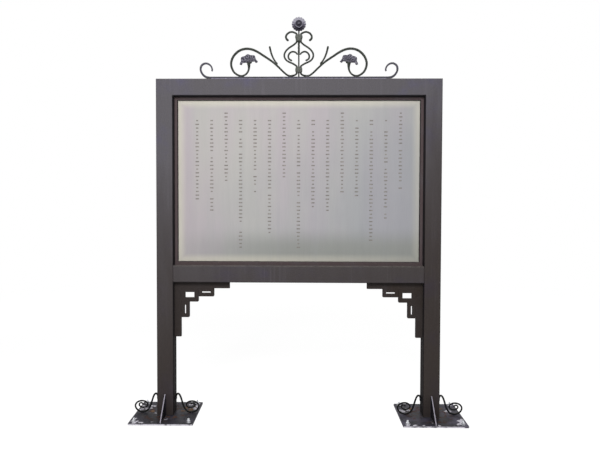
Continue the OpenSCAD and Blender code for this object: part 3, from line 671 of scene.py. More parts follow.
def make_materials(scene):
    """All finishes, by a plain name."""
    look, metal = scene.paint_look, scene.metal_look
    # Material, base, cool tone, share of the edge colour, streaks, dust with painted sheen,
    # painted shade with some soiling towards the ground, edge colour, and whether slim faces are
    # bare;
    # where given, the edge colour is painted shade on the brackets and a painted highlight on the
    # gussets
    painted = {
        "tube": ("tube_paint", look.tube, look.tube_sky, 0.3, 0.08, 0.4, 0.8),
        "rail": ("rail_paint", look.tube, look.tube_sky, 0.3, 0.08, 0.4, 0.65),
        "bead": ("bead_paint", look.bead, look.tube, 0.15, 0.05, 0.2),
        "strip": ("strip_paint", look.strip, look.tube_sky, 0.2, 0.05, 0.3),
        "joint": ("mastic", look.joint, look.seam, 0.0, 0.0, 0.1),
        "fret": ("fret_paint", look.fret, look.grime_shade, 0.85, 0.05, 0.3, 0.3, look.seam),
        "gusset": ("gusset_paint", look.foot, look.sheen, 0.9, 0.0, 0.0, 0.0, look.gusset_edge_highlight,
                   True),
        "foot_weld": ("foot_weld_paint", look.foot, look.sheen, 0.3, 0.0, 0.2),
    }
    # Material, base, hollows, gloss, scale and strength of the hammer marks, dust with painted
    # sheen
    forged = {
        "bar": ("forged_bar", metal.bar, metal.bar_dark, metal.gloss, 90.0, 0.5, 0.9),
        "base_bar": ("base_bar_coat", metal.base_bar, metal.bar, metal.gloss, 60.0, 0.5, 0.4),
        "foot_bar": ("foot_bar", metal.bar_dark, look.foot, look.gloss, 80.0, 0.5, 0.15),
        "collar": ("collar_coat", metal.collar, metal.bar, metal.gloss, 150.0, 0.6, 0.2),
    }
    for build, table in ((painted_steel, painted), (forged_coat, forged)):
        for finish, row in table.items():
            MATERIALS[finish] = build(look, *row)
    MATERIALS.update({
        "foot": footing_paint("footing_paint", look),
        "rosette": cast_rosette("rosette_coat", metal),
        "leaf": cast_leaf("leaf_coat", metal, look),
        "plate": brushed_sheet("brushed_plate", metal),
        "mark": mark_fill("mark_fill", metal),
        "zinc": zinc_coat("zinc", metal),
        "board": backing_panel("plywood", metal, look),
        "mortar": gritty_skin("mortar", look.mortar, look.dust, look.foot),
        "soil": gritty_skin("soil", look.soil, look.rust, look.foot),
    })


def finish_nodes(material, *nodes):
    """Gives CAD nodes a finish in place of their plain colour."""
    for name in nodes:
        mesh = frame["nodes"][name].data
        mesh.materials.clear()
        mesh.materials.append(MATERIALS[material])


# Mesh helpers

def place_piece(name, body, material, replaces=(), sharp=40.0):
    """Puts a finished mesh or bmesh in the scene as a piece that rides on the board."""
    mesh = mesh_of(body, name) if isinstance(body, bmesh.types.BMesh) else body
    mesh.shade_smooth()
    mesh.set_sharp_from_angle(angle=math.radians(sharp))
    mesh.materials.clear()
    mesh.materials.append(MATERIALS[material])
    piece = bpy.data.objects.new(name, mesh)
    bpy.context.scene.collection.objects.link(piece)
    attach(piece, BODY)
    if replaces:
        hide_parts(*replaces)


def mesh_of(bm, name):
    mesh = bpy.data.meshes.new(name)
    bm.normal_update()
    bm.to_mesh(mesh)
    bm.free()
    return mesh


def with_modifier(mesh, kind, **settings):
    """A mesh with a modifier worked in."""
    carrier = bpy.data.objects.new("carrier", mesh)
    bpy.context.scene.collection.objects.link(carrier)
    modifier = carrier.modifiers.new(kind, kind)
    for name, value in settings.items():
        setattr(modifier, name, value)
    view = bpy.context.evaluated_depsgraph_get()
    worked = bpy.data.meshes.new_from_object(carrier.evaluated_get(view))
    bpy.data.objects.remove(carrier)
    return worked


def uneven(mesh, depth, scale, swell):
    """Moves the skin in and out a little, as hammering and casting leave it, and out by swell."""
    offsets = [v.normal * (swell + depth * noise.noise(v.co * scale)) for v in mesh.vertices]
    for vertex, offset in zip(mesh.vertices, offsets):
        moved = vertex.co + offset
        vertex.co = Vector(min(max(c, low), high) for c, low, high in zip(moved, *CAD_BOX))
    mesh.update()


# Angle above which a solid's edge is sharp, and below which two facets are one face
SHARP_EDGE, ONE_FACE = math.radians(60.0), math.radians(35.0)
# Distance below which points are merged, and the rounding of a fully creased edge
MERGE, EDGE_ROUND = 0.00001, 0.0012


def refined(node, depth, scale, swell=0.0, crease=0.0):
    """A finer copy of a faceted CAD node, made uneven; crease keeps its sharp edges, fully at 1."""
    bm = bmesh.new()
    bm.from_mesh(frame["nodes"][node].data)
    bmesh.ops.remove_doubles(bm, verts=bm.verts, dist=MERGE)
    bmesh.ops.join_triangles(bm, faces=bm.faces, angle_face_threshold=ONE_FACE,
                             angle_shape_threshold=SHARP_EDGE)
    if crease:
        layer = bm.edges.layers.float.new("crease_edge")
        for edge in bm.edges:
            if edge.calc_face_angle(0.0) > SHARP_EDGE:
                edge[layer] = crease
    mesh = with_modifier(mesh_of(bm, node + "_fine"), "SUBSURF", levels=2)
    if crease == 1.0:
        mesh = with_modifier(mesh, "BEVEL", width=EDGE_ROUND, segments=2, angle_limit=SHARP_EDGE)
    uneven(mesh, depth, scale, swell)
    return mesh


def turns(steps):
    return [math.tau * k / steps for k in range(steps)]


def close_rings(bm, rings):
    """Faces from ring to ring, and one over each end."""
    steps = len(rings[0])
    for low, high in zip(rings, rings[1:]):
        for k in range(steps):
            bm.faces.new((low[k], low[(k + 1) % steps], high[(k + 1) % steps], high[k]))
    bm.faces.new(rings[0][::-1])
    bm.faces.new(rings[-1])


def add_sweep(bm, path, radii, sides=8):
    """A closed tube along a path in space."""
    rings = []
    normal = None
    for i, point in enumerate(path):
        ahead = (path[min(i + 1, len(path) - 1)] - path[max(i - 1, 0)]).normalized()
        side = normal or (Vector((0, 0, 1)) if abs(ahead.z) < 0.9 else Vector((1, 0, 0)))
        normal = (side - ahead * side.dot(ahead)).normalized()
        across = ahead.cross(normal)
        rings.append([bm.verts.new(point + radii[i] * (normal * math.cos(a) + across * math.sin(a)))
                      for a in turns(sides)])
    close_rings(bm, rings)


def add_weld(bm, start, end, radius=None, ripple=None):
    """A rippled bead, half sunk into the joint; a fine weld unless told otherwise."""
    sizes = bpy.context.scene.fixing_sizes
    radius, ripple = radius or sizes.fine_weld_r, ripple or sizes.ripple
    start, end = Vector(start), Vector(end)
    length = (end - start).length
    rings = max(6, round(length / ripple) * 3)
    path, radii = [], []
    for i in range(rings + 1):
        # Thinner at both ends, with a swell at each ripple and a little unevenness
        along = i / rings
        point = start.lerp(end, along)
        wave = abs(math.sin(math.pi * along * length / ripple))
        taper = min(1.0, 0.45 + 4.0 * min(along, 1.0 - along) * length / (12.0 * radius))
        path.append(point)
        radii.append(radius * taper * (0.84 + 0.16 * wave + 0.12 * noise.noise(point * 220.0)))
    add_sweep(bm, path, radii)


def add_blob(bm, centre, radius, flat=0.6):
    """A small lump of weld metal, flattened to the share flat of its height."""
    centre = Vector(centre)
    for vertex in bmesh.ops.create_icosphere(bm, subdivisions=3, radius=radius)["verts"]:
        x, y, z = vertex.co
        bump = 1.0 + 0.25 * noise.noise((vertex.co + centre) * 260.0)
        vertex.co = Vector((x * bump, y * bump, z * bump * flat)) + centre


def add_turned(bm, profile, steps=32, floor=0.0, shape=None):
    """A body turned about the upright axis; shape may change a radius at a height and angle."""
    rings = []
    for radius, height in profile:
        ring = []
        for angle in turns(steps):
            r = shape(radius, height, angle) if shape else radius
            ring.append(bm.verts.new((r * math.cos(angle), r * math.sin(angle), floor + height)))
        rings.append(ring)
    close_rings(bm, rings)


def add_box(bm, low, high):
    middle = (Vector(low) + Vector(high)) / 2
    size = Vector(high) - Vector(low)
    for vertex in bmesh.ops.create_cube(bm, size=1.0)["verts"]:
        vertex.co = Vector(c * s for c, s in zip(vertex.co, size)) + middle


def touching(node, axis, pick, keep=lambda point: True):
    """The point of a node that lies furthest along an axis; pick is min or max."""
    points = [v.co.copy() for v in frame["nodes"][node].data.vertices if keep(v.co)]
    return pick(points, key=lambda point: point[axis])


# Tubes, joints and brackets

# Radius of the tubes' corners, and distance from swell to swell of the mastic
TUBE_CORNER, MASTIC_WAVE = 0.008, 0.05
# Welds over the mitres, ground almost flush: distance from the tubes' corner, and radius
MITRE_INSET, MITRE_R = 0.009, 0.0007
# Stitches on the brackets: length, where they lie along each leg, then those of ring and loops
STITCH, STITCH_AT = 0.030, (0.08, 0.5, 0.9)
LOOP_STITCH, LOOP_WELD_R = 0.024, 0.0018


class BOARD_OT_tubes(Operator):
    """Paint posts, rails and beads and lay the welds that join them"""
    bl_idname = "board.tubes"
    bl_label = "Tube frame"

    def execute(self, context):
        finish_nodes("tube", "left_post", "right_post")
        finish_nodes("rail", "top_rail", "lower_rail")
        finish_nodes("bead", *(f"bead_{edge}" for edge in EDGES))
        low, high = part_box("lower_rail")
        bm = bmesh.new()
        for x in (low.x, high.x):
            for y in (low.y, high.y):
                add_weld(bm, (x, y, low.z + TUBE_CORNER), (x, y, high.z - TUBE_CORNER))
            add_weld(bm, (x, low.y + TUBE_CORNER, low.z), (x, high.y - TUBE_CORNER, low.z))
        top_low, top_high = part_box("top_rail")
        for sign in (-1, 1):
            outer, inner = sign * top_high.x, sign * high.x
            for y in (top_low.y, top_high.y):
                add_weld(bm, (outer - sign * MITRE_INSET, y, top_high.z - MITRE_INSET),
                         (inner, y, top_low.z), MITRE_R)
        place_piece("frame_welds", bm, "tube")
        return {"FINISHED"}


class BOARD_OT_joints(Operator):
    """Run dark mastic along the joints round the beads and the notice plate, partly as painted
    shadow
    """
    bl_idname = "board.joints"
    bl_label = "Mastic joints"

    def execute(self, context):
        sizes = context.scene.fixing_sizes
        (top0, top1), (bottom0, bottom1), (left0, left1), (right0, right1) = (
            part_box(f"bead_{edge}") for edge in EDGES)
        front, sheet = top0.y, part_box("notice_plate")[0].y
        outer = (left0.x, right1.x, bottom0.z, top1.z, front, sizes.mastic_shadow_r)
        inner = (left1.x, right0.x, bottom1.z, top0.z, sheet, sizes.gasket_shadow_r)
        bm = bmesh.new()
        for x0, x1, z0, z1, y, radius in (outer, inner):
            # Painted shadow: the outer lines run under the top rail and beside the posts, none
            # along the lit bottom
            lines = [((x0, z1), (x1, z1)), ((x0, z0), (x0, z1)), ((x1, z0), (x1, z1))]
            if y == sheet:
                lines.append(((x0, z0), (x1, z0)))
            for (xa, za), (xb, zb) in lines:
                add_weld(bm, (xa, y, za), (xb, y, zb), radius, MASTIC_WAVE)
        place_piece("bead_mastic", bm, "joint")
        return {"FINISHED"}


class BOARD_OT_frets(Operator):
    """Paint the fret brackets and stitch them to post and rail"""
    bl_idname = "board.frets"
    bl_label = "Fret brackets"

    def execute(self, context):
        parts = ("fret_angle", "fret_ring", "fret_upper_loop", "fret_lower_loop")
        for side in SIDES:
            finish_nodes("fret", *(f"{side}_{part}" for part in parts))
            low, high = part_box(f"{side}_fret_angle")
            corner, way = (low.x, 1) if side == "left" else (high.x, -1)
            bm = bmesh.new()
            for y in (low.y, high.y):
                for share in STITCH_AT:
                    reach = share * (high.x - low.x)
                    x, z = corner + way * reach, high.z - reach
                    add_weld(bm, (x, y, high.z), (x + way * STITCH, y, high.z))
                    add_weld(bm, (corner, y, z), (corner, y, z - STITCH))
                for part in parts[1:]:
                    a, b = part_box(f"{side}_{part}")
                    x, z = (a if side == "left" else b).x, (a.z + b.z) / 2
                    add_weld(bm, (x, y, z + LOOP_STITCH / 2), (x, y, z - LOOP_STITCH / 2),
                             LOOP_WELD_R)
            place_piece(f"{side}_fret_welds", bm, "fret")
        return {"FINISHED"}


# Notice plate: seed of the dashes, and the upper margin as a share of the side one
DASH_SEED = 11
UPPER_MARGIN = 0.62
# Every fourth column is shorter, the others start lower, and each is filled from a least share up
SHORT_EVERY, SHORT_LENGTH, LOWER_START, LEAST_FULL = 4, 0.72, 2, 0.62
# Share of the dashes left out, and their half widths as shares of the widest dash
SKIPPED, HALF_WIDTHS = 0.07, (0.5, 0.5, 0.36, 0.28)


class BOARD_OT_notice(Operator):
    """Brush the notice plate and fill it with generic dashes"""
    bl_idname = "board.notice"
    bl_label = "Notice plate"

    def execute(self, context):
        layout = context.scene.notice_layout
        finish_nodes("plate", "notice_plate")
        low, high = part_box("notice_plate")
        draw = random.Random(DASH_SEED)
        bm = bmesh.new()
        wide = high.x - low.x - 2 * layout.margin
        tall = high.z - low.z - 2 * layout.margin * UPPER_MARGIN
        top = high.z - layout.margin * UPPER_MARGIN
        rows = int(tall / layout.row_pitch)
        for column in range(layout.columns):
            short = column % SHORT_EVERY == 0
            x = high.x - layout.margin - wide * column / (layout.columns - 1)
            length = round(rows * SHORT_LENGTH) if short else rows
            length = round(length * draw.uniform(LEAST_FULL, 1.0))
            for row in range(0 if short else LOWER_START, length):
                if draw.random() < SKIPPED:
                    continue
                half = layout.dash_width * draw.choice(HALF_WIDTHS)
                z = top - (row + 0.5) * layout.row_pitch
                add_box(bm, (x - half, low.y - layout.relief, z - layout.dash_height / 2),
                        (x + half, low.y, z + layout.dash_height / 2))
        place_piece("notice_dashes", bm, "mark")
        return {"FINISHED"}


# Screws: a head's radius and height as shares of the screw's diameter
HEAD_R, HEAD_H = 0.95, 0.6
# Outline of the head, as shares of its radius and of the screw's diameter
DOME = [(0.999, 0.0), (1.0, 0.18), (0.93, 0.34), (0.78, 0.47), (0.5, 0.56), (0.12, HEAD_H)]


def screw_head(diameter):
    """The head of a pan-head screw with a cross recess, its underside at height 0."""
    head_r = diameter * HEAD_R
    bm = bmesh.new()
    add_turned(bm, [(r * head_r, z * diameter) for r, z in DOME], 28)
    body = mesh_of(bm, "screw_body")
    bm = bmesh.new()
    arm, slot = 0.55 * head_r, 0.10 * diameter
    for reach, half in ((arm, slot), (slot, arm)):
        add_box(bm, (-reach, -half, 0.25 * diameter), (reach, half, diameter))
    cutter = bpy.data.objects.new("cross", mesh_of(bm, "cross"))
    bpy.context.scene.collection.objects.link(cutter)
    head = with_modifier(body, "BOOLEAN", object=cutter, operation="DIFFERENCE", use_self=True)
    bpy.data.objects.remove(cutter)
    return head


def clusters(node):
    """The boxes of a CAD node's separate solids, from its mesh islands."""
    bm = bmesh.new()
    bm.from_mesh(frame["nodes"][node].data)
    bmesh.ops.remove_doubles(bm, verts=bm.verts, dist=2 * MERGE)
    left, found = set(bm.verts), []
    while left:
        stack = [left.pop()]
        low, high = stack[0].co.copy(), stack[0].co.copy()
        while stack:
            vertex = stack.pop()
            low = Vector(map(min, low, vertex.co))
            high = Vector(map(max, high, vertex.co))
            for edge in vertex.link_edges:
                other = edge.other_vert(vertex)
                if other in left:
                    left.remove(other)
                    stack.append(other)
        found.append((low, high))
    bm.free()
    return sorted(found, key=lambda box: tuple(box[0]))


def screw_set(name, node, facing, material):
    """Detailed screws in place of a CAD node's; facing gives the way that a head looks."""
    boxes = clusters(node)
    diameter = (boxes[0][1].y - boxes[0][0].y) / (2 * HEAD_R)
    head = screw_head(diameter)
    bm = bmesh.new()
    for low, high in boxes:
        axis = facing(low, high)
        span = abs((high - low).dot(axis))
        seat = (low + high) / 2 + axis * (span / 2 - HEAD_H * diameter)
        turn = axis.to_track_quat("Z", "Y").to_matrix().to_4x4()
        one = bmesh.new()
        one.from_mesh(head)
        add_turned(one, [(diameter / 2, HEAD_H * diameter - span), (diameter / 2, 0.0)], 20)
        bmesh.ops.transform(one, matrix=Matrix.Translation(seat) @ turn, verts=one.verts)
        scratch = mesh_of(one, "screw")
        bm.from_mesh(scratch)
        bpy.data.meshes.remove(scratch)
    place_piece(name, bm, material, [node])


class BOARD_OT_rear(Operator):
    """Finish the backing panel, its stops and their screws"""
    bl_idname = "board.rear"
    bl_label = "Backing and stops"

    def execute(self, context):
        finish_nodes("board", "backing_panel")
        finish_nodes("bead", *(f"rear_stop_{edge}" for edge in EDGES))
        screw_set("rear_screws", "stop_screws", self.inwards, "zinc")
        return {"FINISHED"}

    @staticmethod
    def inwards(low, high):
        """From a screw towards the middle of the board, along the screw."""
        size = high - low
        away = middle_of("backing_panel") - (low + high) / 2
        if size.x > size.z:
            return Vector((math.copysign(1.0, away.x), 0.0, 0.0))
        return Vector((0.0, 0.0, math.copysign(1.0, away.z)))


# Feet

def add_splat(bm, centre, radius, height, seed, keep):
    """A low frayed heap of mortar or soil, kept inside the corners keep."""
    around, out = 40, 7
    crown = bm.verts.new((centre[0], centre[1], centre[2] + height))
    rings = []
    for k in range(1, out + 1):
        share = k / out
        ring = []
        for angle in turns(around):
            # Longer one way than the other, frayed more towards the rim, and lumpy
            way = Vector((math.cos(angle), math.sin(angle), seed))
            fray = 0.9 + 0.3 * math.cos(2.0 * angle - 5.0 * seed) + 0.45 * noise.noise(way * 1.7)
            r = radius * share * (fray + 0.35 * share * noise.noise(way * 4.0))
            x = min(max(centre[0] + r * math.cos(angle), keep[0].x), keep[1].x)
            y = min(max(centre[1] + r * math.sin(angle), keep[0].y), keep[1].y)
            lump = 1.0 + 0.6 * noise.noise(Vector((x, y, seed)) * 90.0)
            ring.append(bm.verts.new((x, y, centre[2] + height * (1.0 - share ** 2) * lump)))
        rings.append(ring)
    for i in range(around):
        bm.faces.new((crown, rings[0][i], rings[0][(i + 1) % around]))
    for low, high in zip(rings, rings[1:]):
        for i in range(around):
            bm.faces.new((low[i], high[i], high[(i + 1) % around], low[(i + 1) % around]))
    bm.faces.new(rings[-1][::-1])


# Heaps on the base plates: across and along from the post's centre, radius and height, in mm
MORTAR = {
    "left": [(-152, -162, 19, 5), (-172, -140, 10, 3), (-118, -168, 13, 3), (-166, -100, 9, 2),
             (-168, 96, 22, 6), (-172, 48, 17, 5), (-132, 66, 20, 5), (-110, 110, 18, 4),
             (150, 78, 20, 5), (166, 112, 15, 4), (168, 150, 12, 3), (120, 140, 12, 3)],
    "right": [(-158, -166, 17, 5), (-120, -174, 11, 3), (-70, -178, 7, 2), (20, -176, 9, 3),
              (160, -110, 22, 6), (172, -80, 13, 4), (140, -150, 15, 4), (168, -145, 12, 3),
              (-158, 60, 20, 5), (-120, 84, 20, 4), (-140, 20, 12, 3), (125, 60, 20, 5),
              (160, 20, 12, 3)],
}
SOIL = {
    "left": [(138, 50, 24, 3), (106, 88, 18, 3), (92, 30, 13, 2), (150, 100, 14, 3),
             (-92, 20, 16, 2)],
    "right": [(-96, 96, 18, 2), (84, 104, 15, 2)],
}
# Lumps where a foot scroll meets the post and the base plate
POST_LUMP_R, PLATE_LUMP_R = 0.006, 0.007
# How far below a gusset's top its welds end
GUSSET_TOP_GAP = 0.004


class BOARD_OT_feet(Operator):
    """Finish base plates, gussets and foot scrolls, with their welds and mortar"""
    bl_idname = "board.feet"
    bl_label = "Feet"

    def execute(self, context):
        sizes, metal = context.scene.fixing_sizes, context.scene.metal_look
        for side in SIDES:
            finish_nodes("foot", f"{side}_base_plate")
            finish_nodes("gusset", f"{side}_front_gusset", f"{side}_rear_gusset")
            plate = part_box(f"{side}_base_plate")
            post_low, post_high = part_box(f"{side}_post")
            top = plate[1].z
            welds = bmesh.new()
            corners = [(post_low.x, post_low.y), (post_high.x, post_low.y),
                       (post_high.x, post_high.y), (post_low.x, post_high.y)]
            for a, b in zip(corners, corners[1:] + corners[:1]):
                add_weld(welds, (*a, top), (*b, top), sizes.weld_r)
            for place in ("front", "rear"):
                low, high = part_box(f"{side}_{place}_gusset")
                near, far = (high.y, low.y) if place == "front" else (low.y, high.y)
                for x in (low.x, high.x):
                    add_weld(welds, (x, near, top), (x, far, top))
                    add_weld(welds, (x, near, top), (x, near, high.z - GUSSET_TOP_GAP))
            for place in ("outer", "inner"):
                node = f"{side}_{place}_foot_scroll"
                mesh = refined(node, metal.hammer_depth, scale=140.0, swell=sizes.film * 0.9)
                place_piece(f"{side}_{place}_foot_bar", mesh, "foot_bar", [node])
                towards_post = max if (place == "outer") == (side == "left") else min
                add_blob(welds, touching(node, X, towards_post), POST_LUMP_R, flat=1.5)
                add_blob(welds, touching(node, Z, min), PLATE_LUMP_R)
            place_piece(f"{side}_foot_welds", welds, "foot_weld")
            centre_x = (post_low.x + post_high.x) / 2
            for kind, heaps in (("mortar", MORTAR), ("soil", SOIL)):
                bm = bmesh.new()
                for number, (x, y, radius, height) in enumerate(heaps[side]):
                    add_splat(bm, (centre_x + x * MM, y * MM, top), radius * MM, height * MM,
                              number + 0.5, plate)
                place_piece(f"{side}_{kind}", bm, kind, sharp=80.0)
        return {"FINISHED"}


def nut_shape(width, height):
    """Radius of a hexagon nut, chamfered at both faces by a cone."""
    sixth, face_r, slope = math.pi / 3, width / 2 * 1.02, 1.7

    def radius(share, z, angle):
        hexagon = width / 2 / math.cos((angle + sixth / 2) % sixth - sixth / 2)
        return share * min(hexagon, face_r + slope * min(z, height - z))

    return radius


def anchor_mesh(sizes):
    """Washer, nut and threaded stud, standing on height 0."""
    bm = bmesh.new()
    r, t = sizes.washer_d / 2, sizes.washer_t
    lower, upper = 0.0003, 0.0004  # how much the washer's edges are broken
    add_turned(bm, [(r - lower, 0.0), (r, lower), (r, t - upper), (r - upper, t)], 40)
    levels = (0.0, 0.08, 0.2, 0.5, 0.8, 0.92, 1.0)
    add_turned(bm, [(1.0, level * sizes.nut_h) for level in levels], 72, floor=t,
               shape=nut_shape(sizes.nut_width, sizes.nut_h))
    low, high = t + sizes.nut_h, sizes.stud_h
    # How deep the stud reaches into the nut, and the height and slope of its chamfered end
    sunk, point, slope = 0.001, 0.0015, 0.9
    rings = round((high - low) / sizes.thread_pitch * 6)

    def thread(radius, z, angle):
        turn = (z / sizes.thread_pitch - angle / math.tau) % 1.0
        groove = 0.6 * sizes.thread_pitch * abs(2.0 * turn - 1.0)
        return radius - groove - max(0.0, (z - (high - low) - low + point)) * slope

    add_turned(bm, [(sizes.stud_d / 2, low - sunk + (high - low + sunk) * i / rings)
                    for i in range(rings + 1)], 28, shape=thread)
    return mesh_of(bm, "anchor")


class BOARD_OT_anchors(Operator):
    """Stand an anchor stud with washer and nut in each hole of the base plates"""
    bl_idname = "board.anchors"
    bl_label = "Anchors"

    def execute(self, context):
        mesh = anchor_mesh(context.scene.fixing_sizes)
        for mount in frame["record"]["mounts"]:
            if mount["kind"] != "bolt_pattern":
                continue
            side = mount["name"].split("_")[0]
            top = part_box(f"{side}_base_plate")[1].z
            x, y = mount["pos_m"][:2]
            across, along = (mount["dims"][f"spacing_{axis}_mm"] * MM / 2 for axis in "xy")
            holes = [(x + dx, y + dy, top) for dx in (-across, across) for dy in (-along, along)]
            for number, hole in enumerate(holes, 1):
                turned = mesh.copy()
                turn = Matrix.Rotation(number * 0.6, 4, "Z")
                turned.transform(Matrix.Translation(hole) @ turn)
                place_piece(f"{side}_anchor_{number}", turned, "zinc", sharp=30.0)
        return {"FINISHED"}


# Crest

# Stitches between base bar and strip, and how far from the middle the S-scrolls' feet divide
STITCHES, STITCH_HALF = 7, 0.016
FEET_DIVIDE = 0.2
# Spatter round each foot: seed, number, reach, and least and largest radius
SPATTER_SEED, SPATTER, SPATTER_REACH, SPATTER_R = 5, 9, 0.045, (0.0012, 0.0026)


def leaf_root(side):
    """The end of an S-scroll, where its leaf grows from it."""
    low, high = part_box(f"{side}_leaf")
    middle = middle_of(f"{side}_leaf").z
    return touching(f"{side}_s_scroll", Z, max,
                    lambda point: low.x < point.x < high.x and point.z < middle)


def scroll_feet(side):
    """Where an S-scroll's inner and outer stretch touch the base bar."""
    return [touching(f"{side}_s_scroll", Z, min, keep) for keep in (
        lambda point: abs(point.x) < FEET_DIVIDE, lambda point: abs(point.x) > FEET_DIVIDE)]


class BOARD_OT_crest_base(Operator):
    """Finish the mounting strip, its screws and the base bar with curled ends"""
    bl_idname = "board.crest_base"
    bl_label = "Crest base"

    def execute(self, context):
        metal, sizes = context.scene.metal_look, context.scene.fixing_sizes
        finish_nodes("strip", "mounting_strip")
        screw_set("crest_screws", "strip_screws", lambda a, b: Vector((0, 0, 1)), "strip")
        mesh = refined("base_bar", metal.hammer_depth * 0.6, 90.0, sizes.film, crease=1.0)
        place_piece("base_bar_forged", mesh, "base_bar", ["base_bar"], sharp=50.0)
        low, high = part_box("mounting_strip")
        bar_half = (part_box("base_bar")[1].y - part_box("base_bar")[0].y) / 2
        bm = bmesh.new()
        for i in range(STITCHES):
            x = low.x + (high.x - low.x) * (i + 0.5) / STITCHES
            for y in (-bar_half, bar_half):
                add_weld(bm, (x - STITCH_HALF, y, high.z), (x + STITCH_HALF, y, high.z))
        for side in SIDES:
            for foot in scroll_feet(side):
                add_blob(bm, foot, sizes.lump_r)
            curl = touching(f"{side}_heart_curl", X, max if side == "left" else min)
            for place, share, flat in ((touching(f"{side}_spur", Z, min), 0.75, 0.9),
                                       ((curl.x * 0.6, 0.0, curl.z), 0.8, 0.9),
                                       (leaf_root(side), 1.2, 0.8)):
                add_blob(bm, place, sizes.lump_r * share, flat)
        place_piece("crest_welds", bm, "bar")
        draw = random.Random(SPATTER_SEED)
        bm = bmesh.new()
        for side in SIDES:
            for foot in scroll_feet(side):
                for _ in range(SPATTER):
                    x = foot.x + draw.uniform(-SPATTER_REACH, SPATTER_REACH)
                    add_blob(bm, (x, -bar_half, high.z + draw.uniform(0.0, 2 * bar_half)),
                             draw.uniform(*SPATTER_R))
        place_piece("weld_spatter", bm, "strip")
        return {"FINISHED"}


# Rings of the stem's twist, and how far it reaches down between the curls
TWIST_RINGS, TWIST_SUNK = 36, 0.012


class BOARD_OT_crest_bars(Operator):
    """Forge the scrolls, spurs, lyre bars and curls and finish the stem"""
    bl_idname = "board.crest_bars"
    bl_label = "Crest bars"

    def execute(self, context):
        metal, film = context.scene.metal_look, context.scene.fixing_sizes.film
        finish_nodes("bar", "centre_stem")
        low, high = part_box("left_heart_curl")[1].z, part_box("upper_collar")[0].z
        tall = high - low + TWIST_SUNK
        bm = bmesh.new()
        add_turned(bm, [(1.0, low - TWIST_SUNK + tall * i / TWIST_RINGS)
                        for i in range(TWIST_RINGS + 1)], 24, shape=self.rope)
        place_piece("stem_twist", bm, "bar", sharp=70.0)
        swells = {"s_scroll": 1.0, "spur": 1.6, "lyre_bar": 1.6, "heart_curl": 1.6}
        for node, swell in ((f"{side}_{part}", swells[part]) for side in SIDES for part in swells):
            mesh = refined(node, metal.hammer_depth, 110.0, film * swell)
            place_piece(node + "_forged", mesh, "bar", [node], sharp=70.0)
        return {"FINISHED"}

    @staticmethod
    def rope(_, height, angle):
        """Radius of the stem's twisted stretch: three strands with a slow swell."""
        strand = abs(math.sin(1.5 * angle + 150.0 * height))
        return MM * (5.2 + 1.5 * strand + 0.5 * math.sin(210.0 * height))


# Ribs down a collar: their number and radius
RIBS, RIB_R = 10, 0.0016


class BOARD_OT_collars(Operator):
    """Finish the two collars and lay raised ribs down their bellies"""
    bl_idname = "board.collars"
    bl_label = "Collars"

    def execute(self, context):
        for name in ("upper_collar", "lower_collar"):
            finish_nodes("collar", name)
            levels = {}
            for vertex in frame["nodes"][name].data.vertices:
                level = round(vertex.co.z, 4)
                levels[level] = max(levels.get(level, 0.0), math.hypot(vertex.co.x, vertex.co.y))
            bm = bmesh.new()
            for k in range(RIBS):
                angle = math.tau * (k + 0.5) / RIBS
                path = [Vector((r * math.cos(angle), r * math.sin(angle), z))
                        for z, r in sorted(levels.items())]
                add_sweep(bm, path, [RIB_R] * len(path))
            place_piece(f"{name}_ribs", bm, "collar")
        return {"FINISHED"}


# Lobes at the leaves' tips: how far they lie in towards the middle, radius and flatness
LOBE_IN, LOBE_R, LOBE_FLAT = 0.15, 0.0078, 0.95


class BOARD_OT_castings(Operator):
    """Cast the fan leaves and the rosette"""
    bl_idname = "board.castings"
    bl_label = "Leaves and rosette"

    def execute(self, context):
        depth, film = context.scene.metal_look.casting_depth, context.scene.fixing_sizes.film
        finish_nodes("rosette", "rosette_cup", "rosette_boss")
        for side in SIDES:
            node = f"{side}_leaf"
            mesh = refined(node, depth, 85.0, film * 1.7, crease=0.8)
            place_piece(node + "_cast", mesh, "leaf", [node], sharp=70.0)
            bm = bmesh.new()
            for pick in (min, max):
                tip = touching(node, X, pick)
                add_blob(bm, tip.lerp(middle_of(node), LOBE_IN), LOBE_R, LOBE_FLAT)
            place_piece(f"{side}_leaf_lobes", bm, "leaf")
        mesh = refined("rosette_petals", depth, 110.0, crease=0.8)
        place_piece("rosette_petals_cast", mesh, "rosette", ["rosette_petals"],
                    sharp=70.0)
        return {"FINISHED"}


# Stage

# Each lamp's place, what it points at, and its width and height, in metres
KEY_LAMP = ((-0.4, -3.0, 2.9), (0.0, 0.0, 1.3), (2.2, 1.2))
BACK_LAMP = ((0.8, 2.8, 3.6), (0.0, 0.0, 1.2), (3.0, 1.8))
FLOOR_R = 30.0


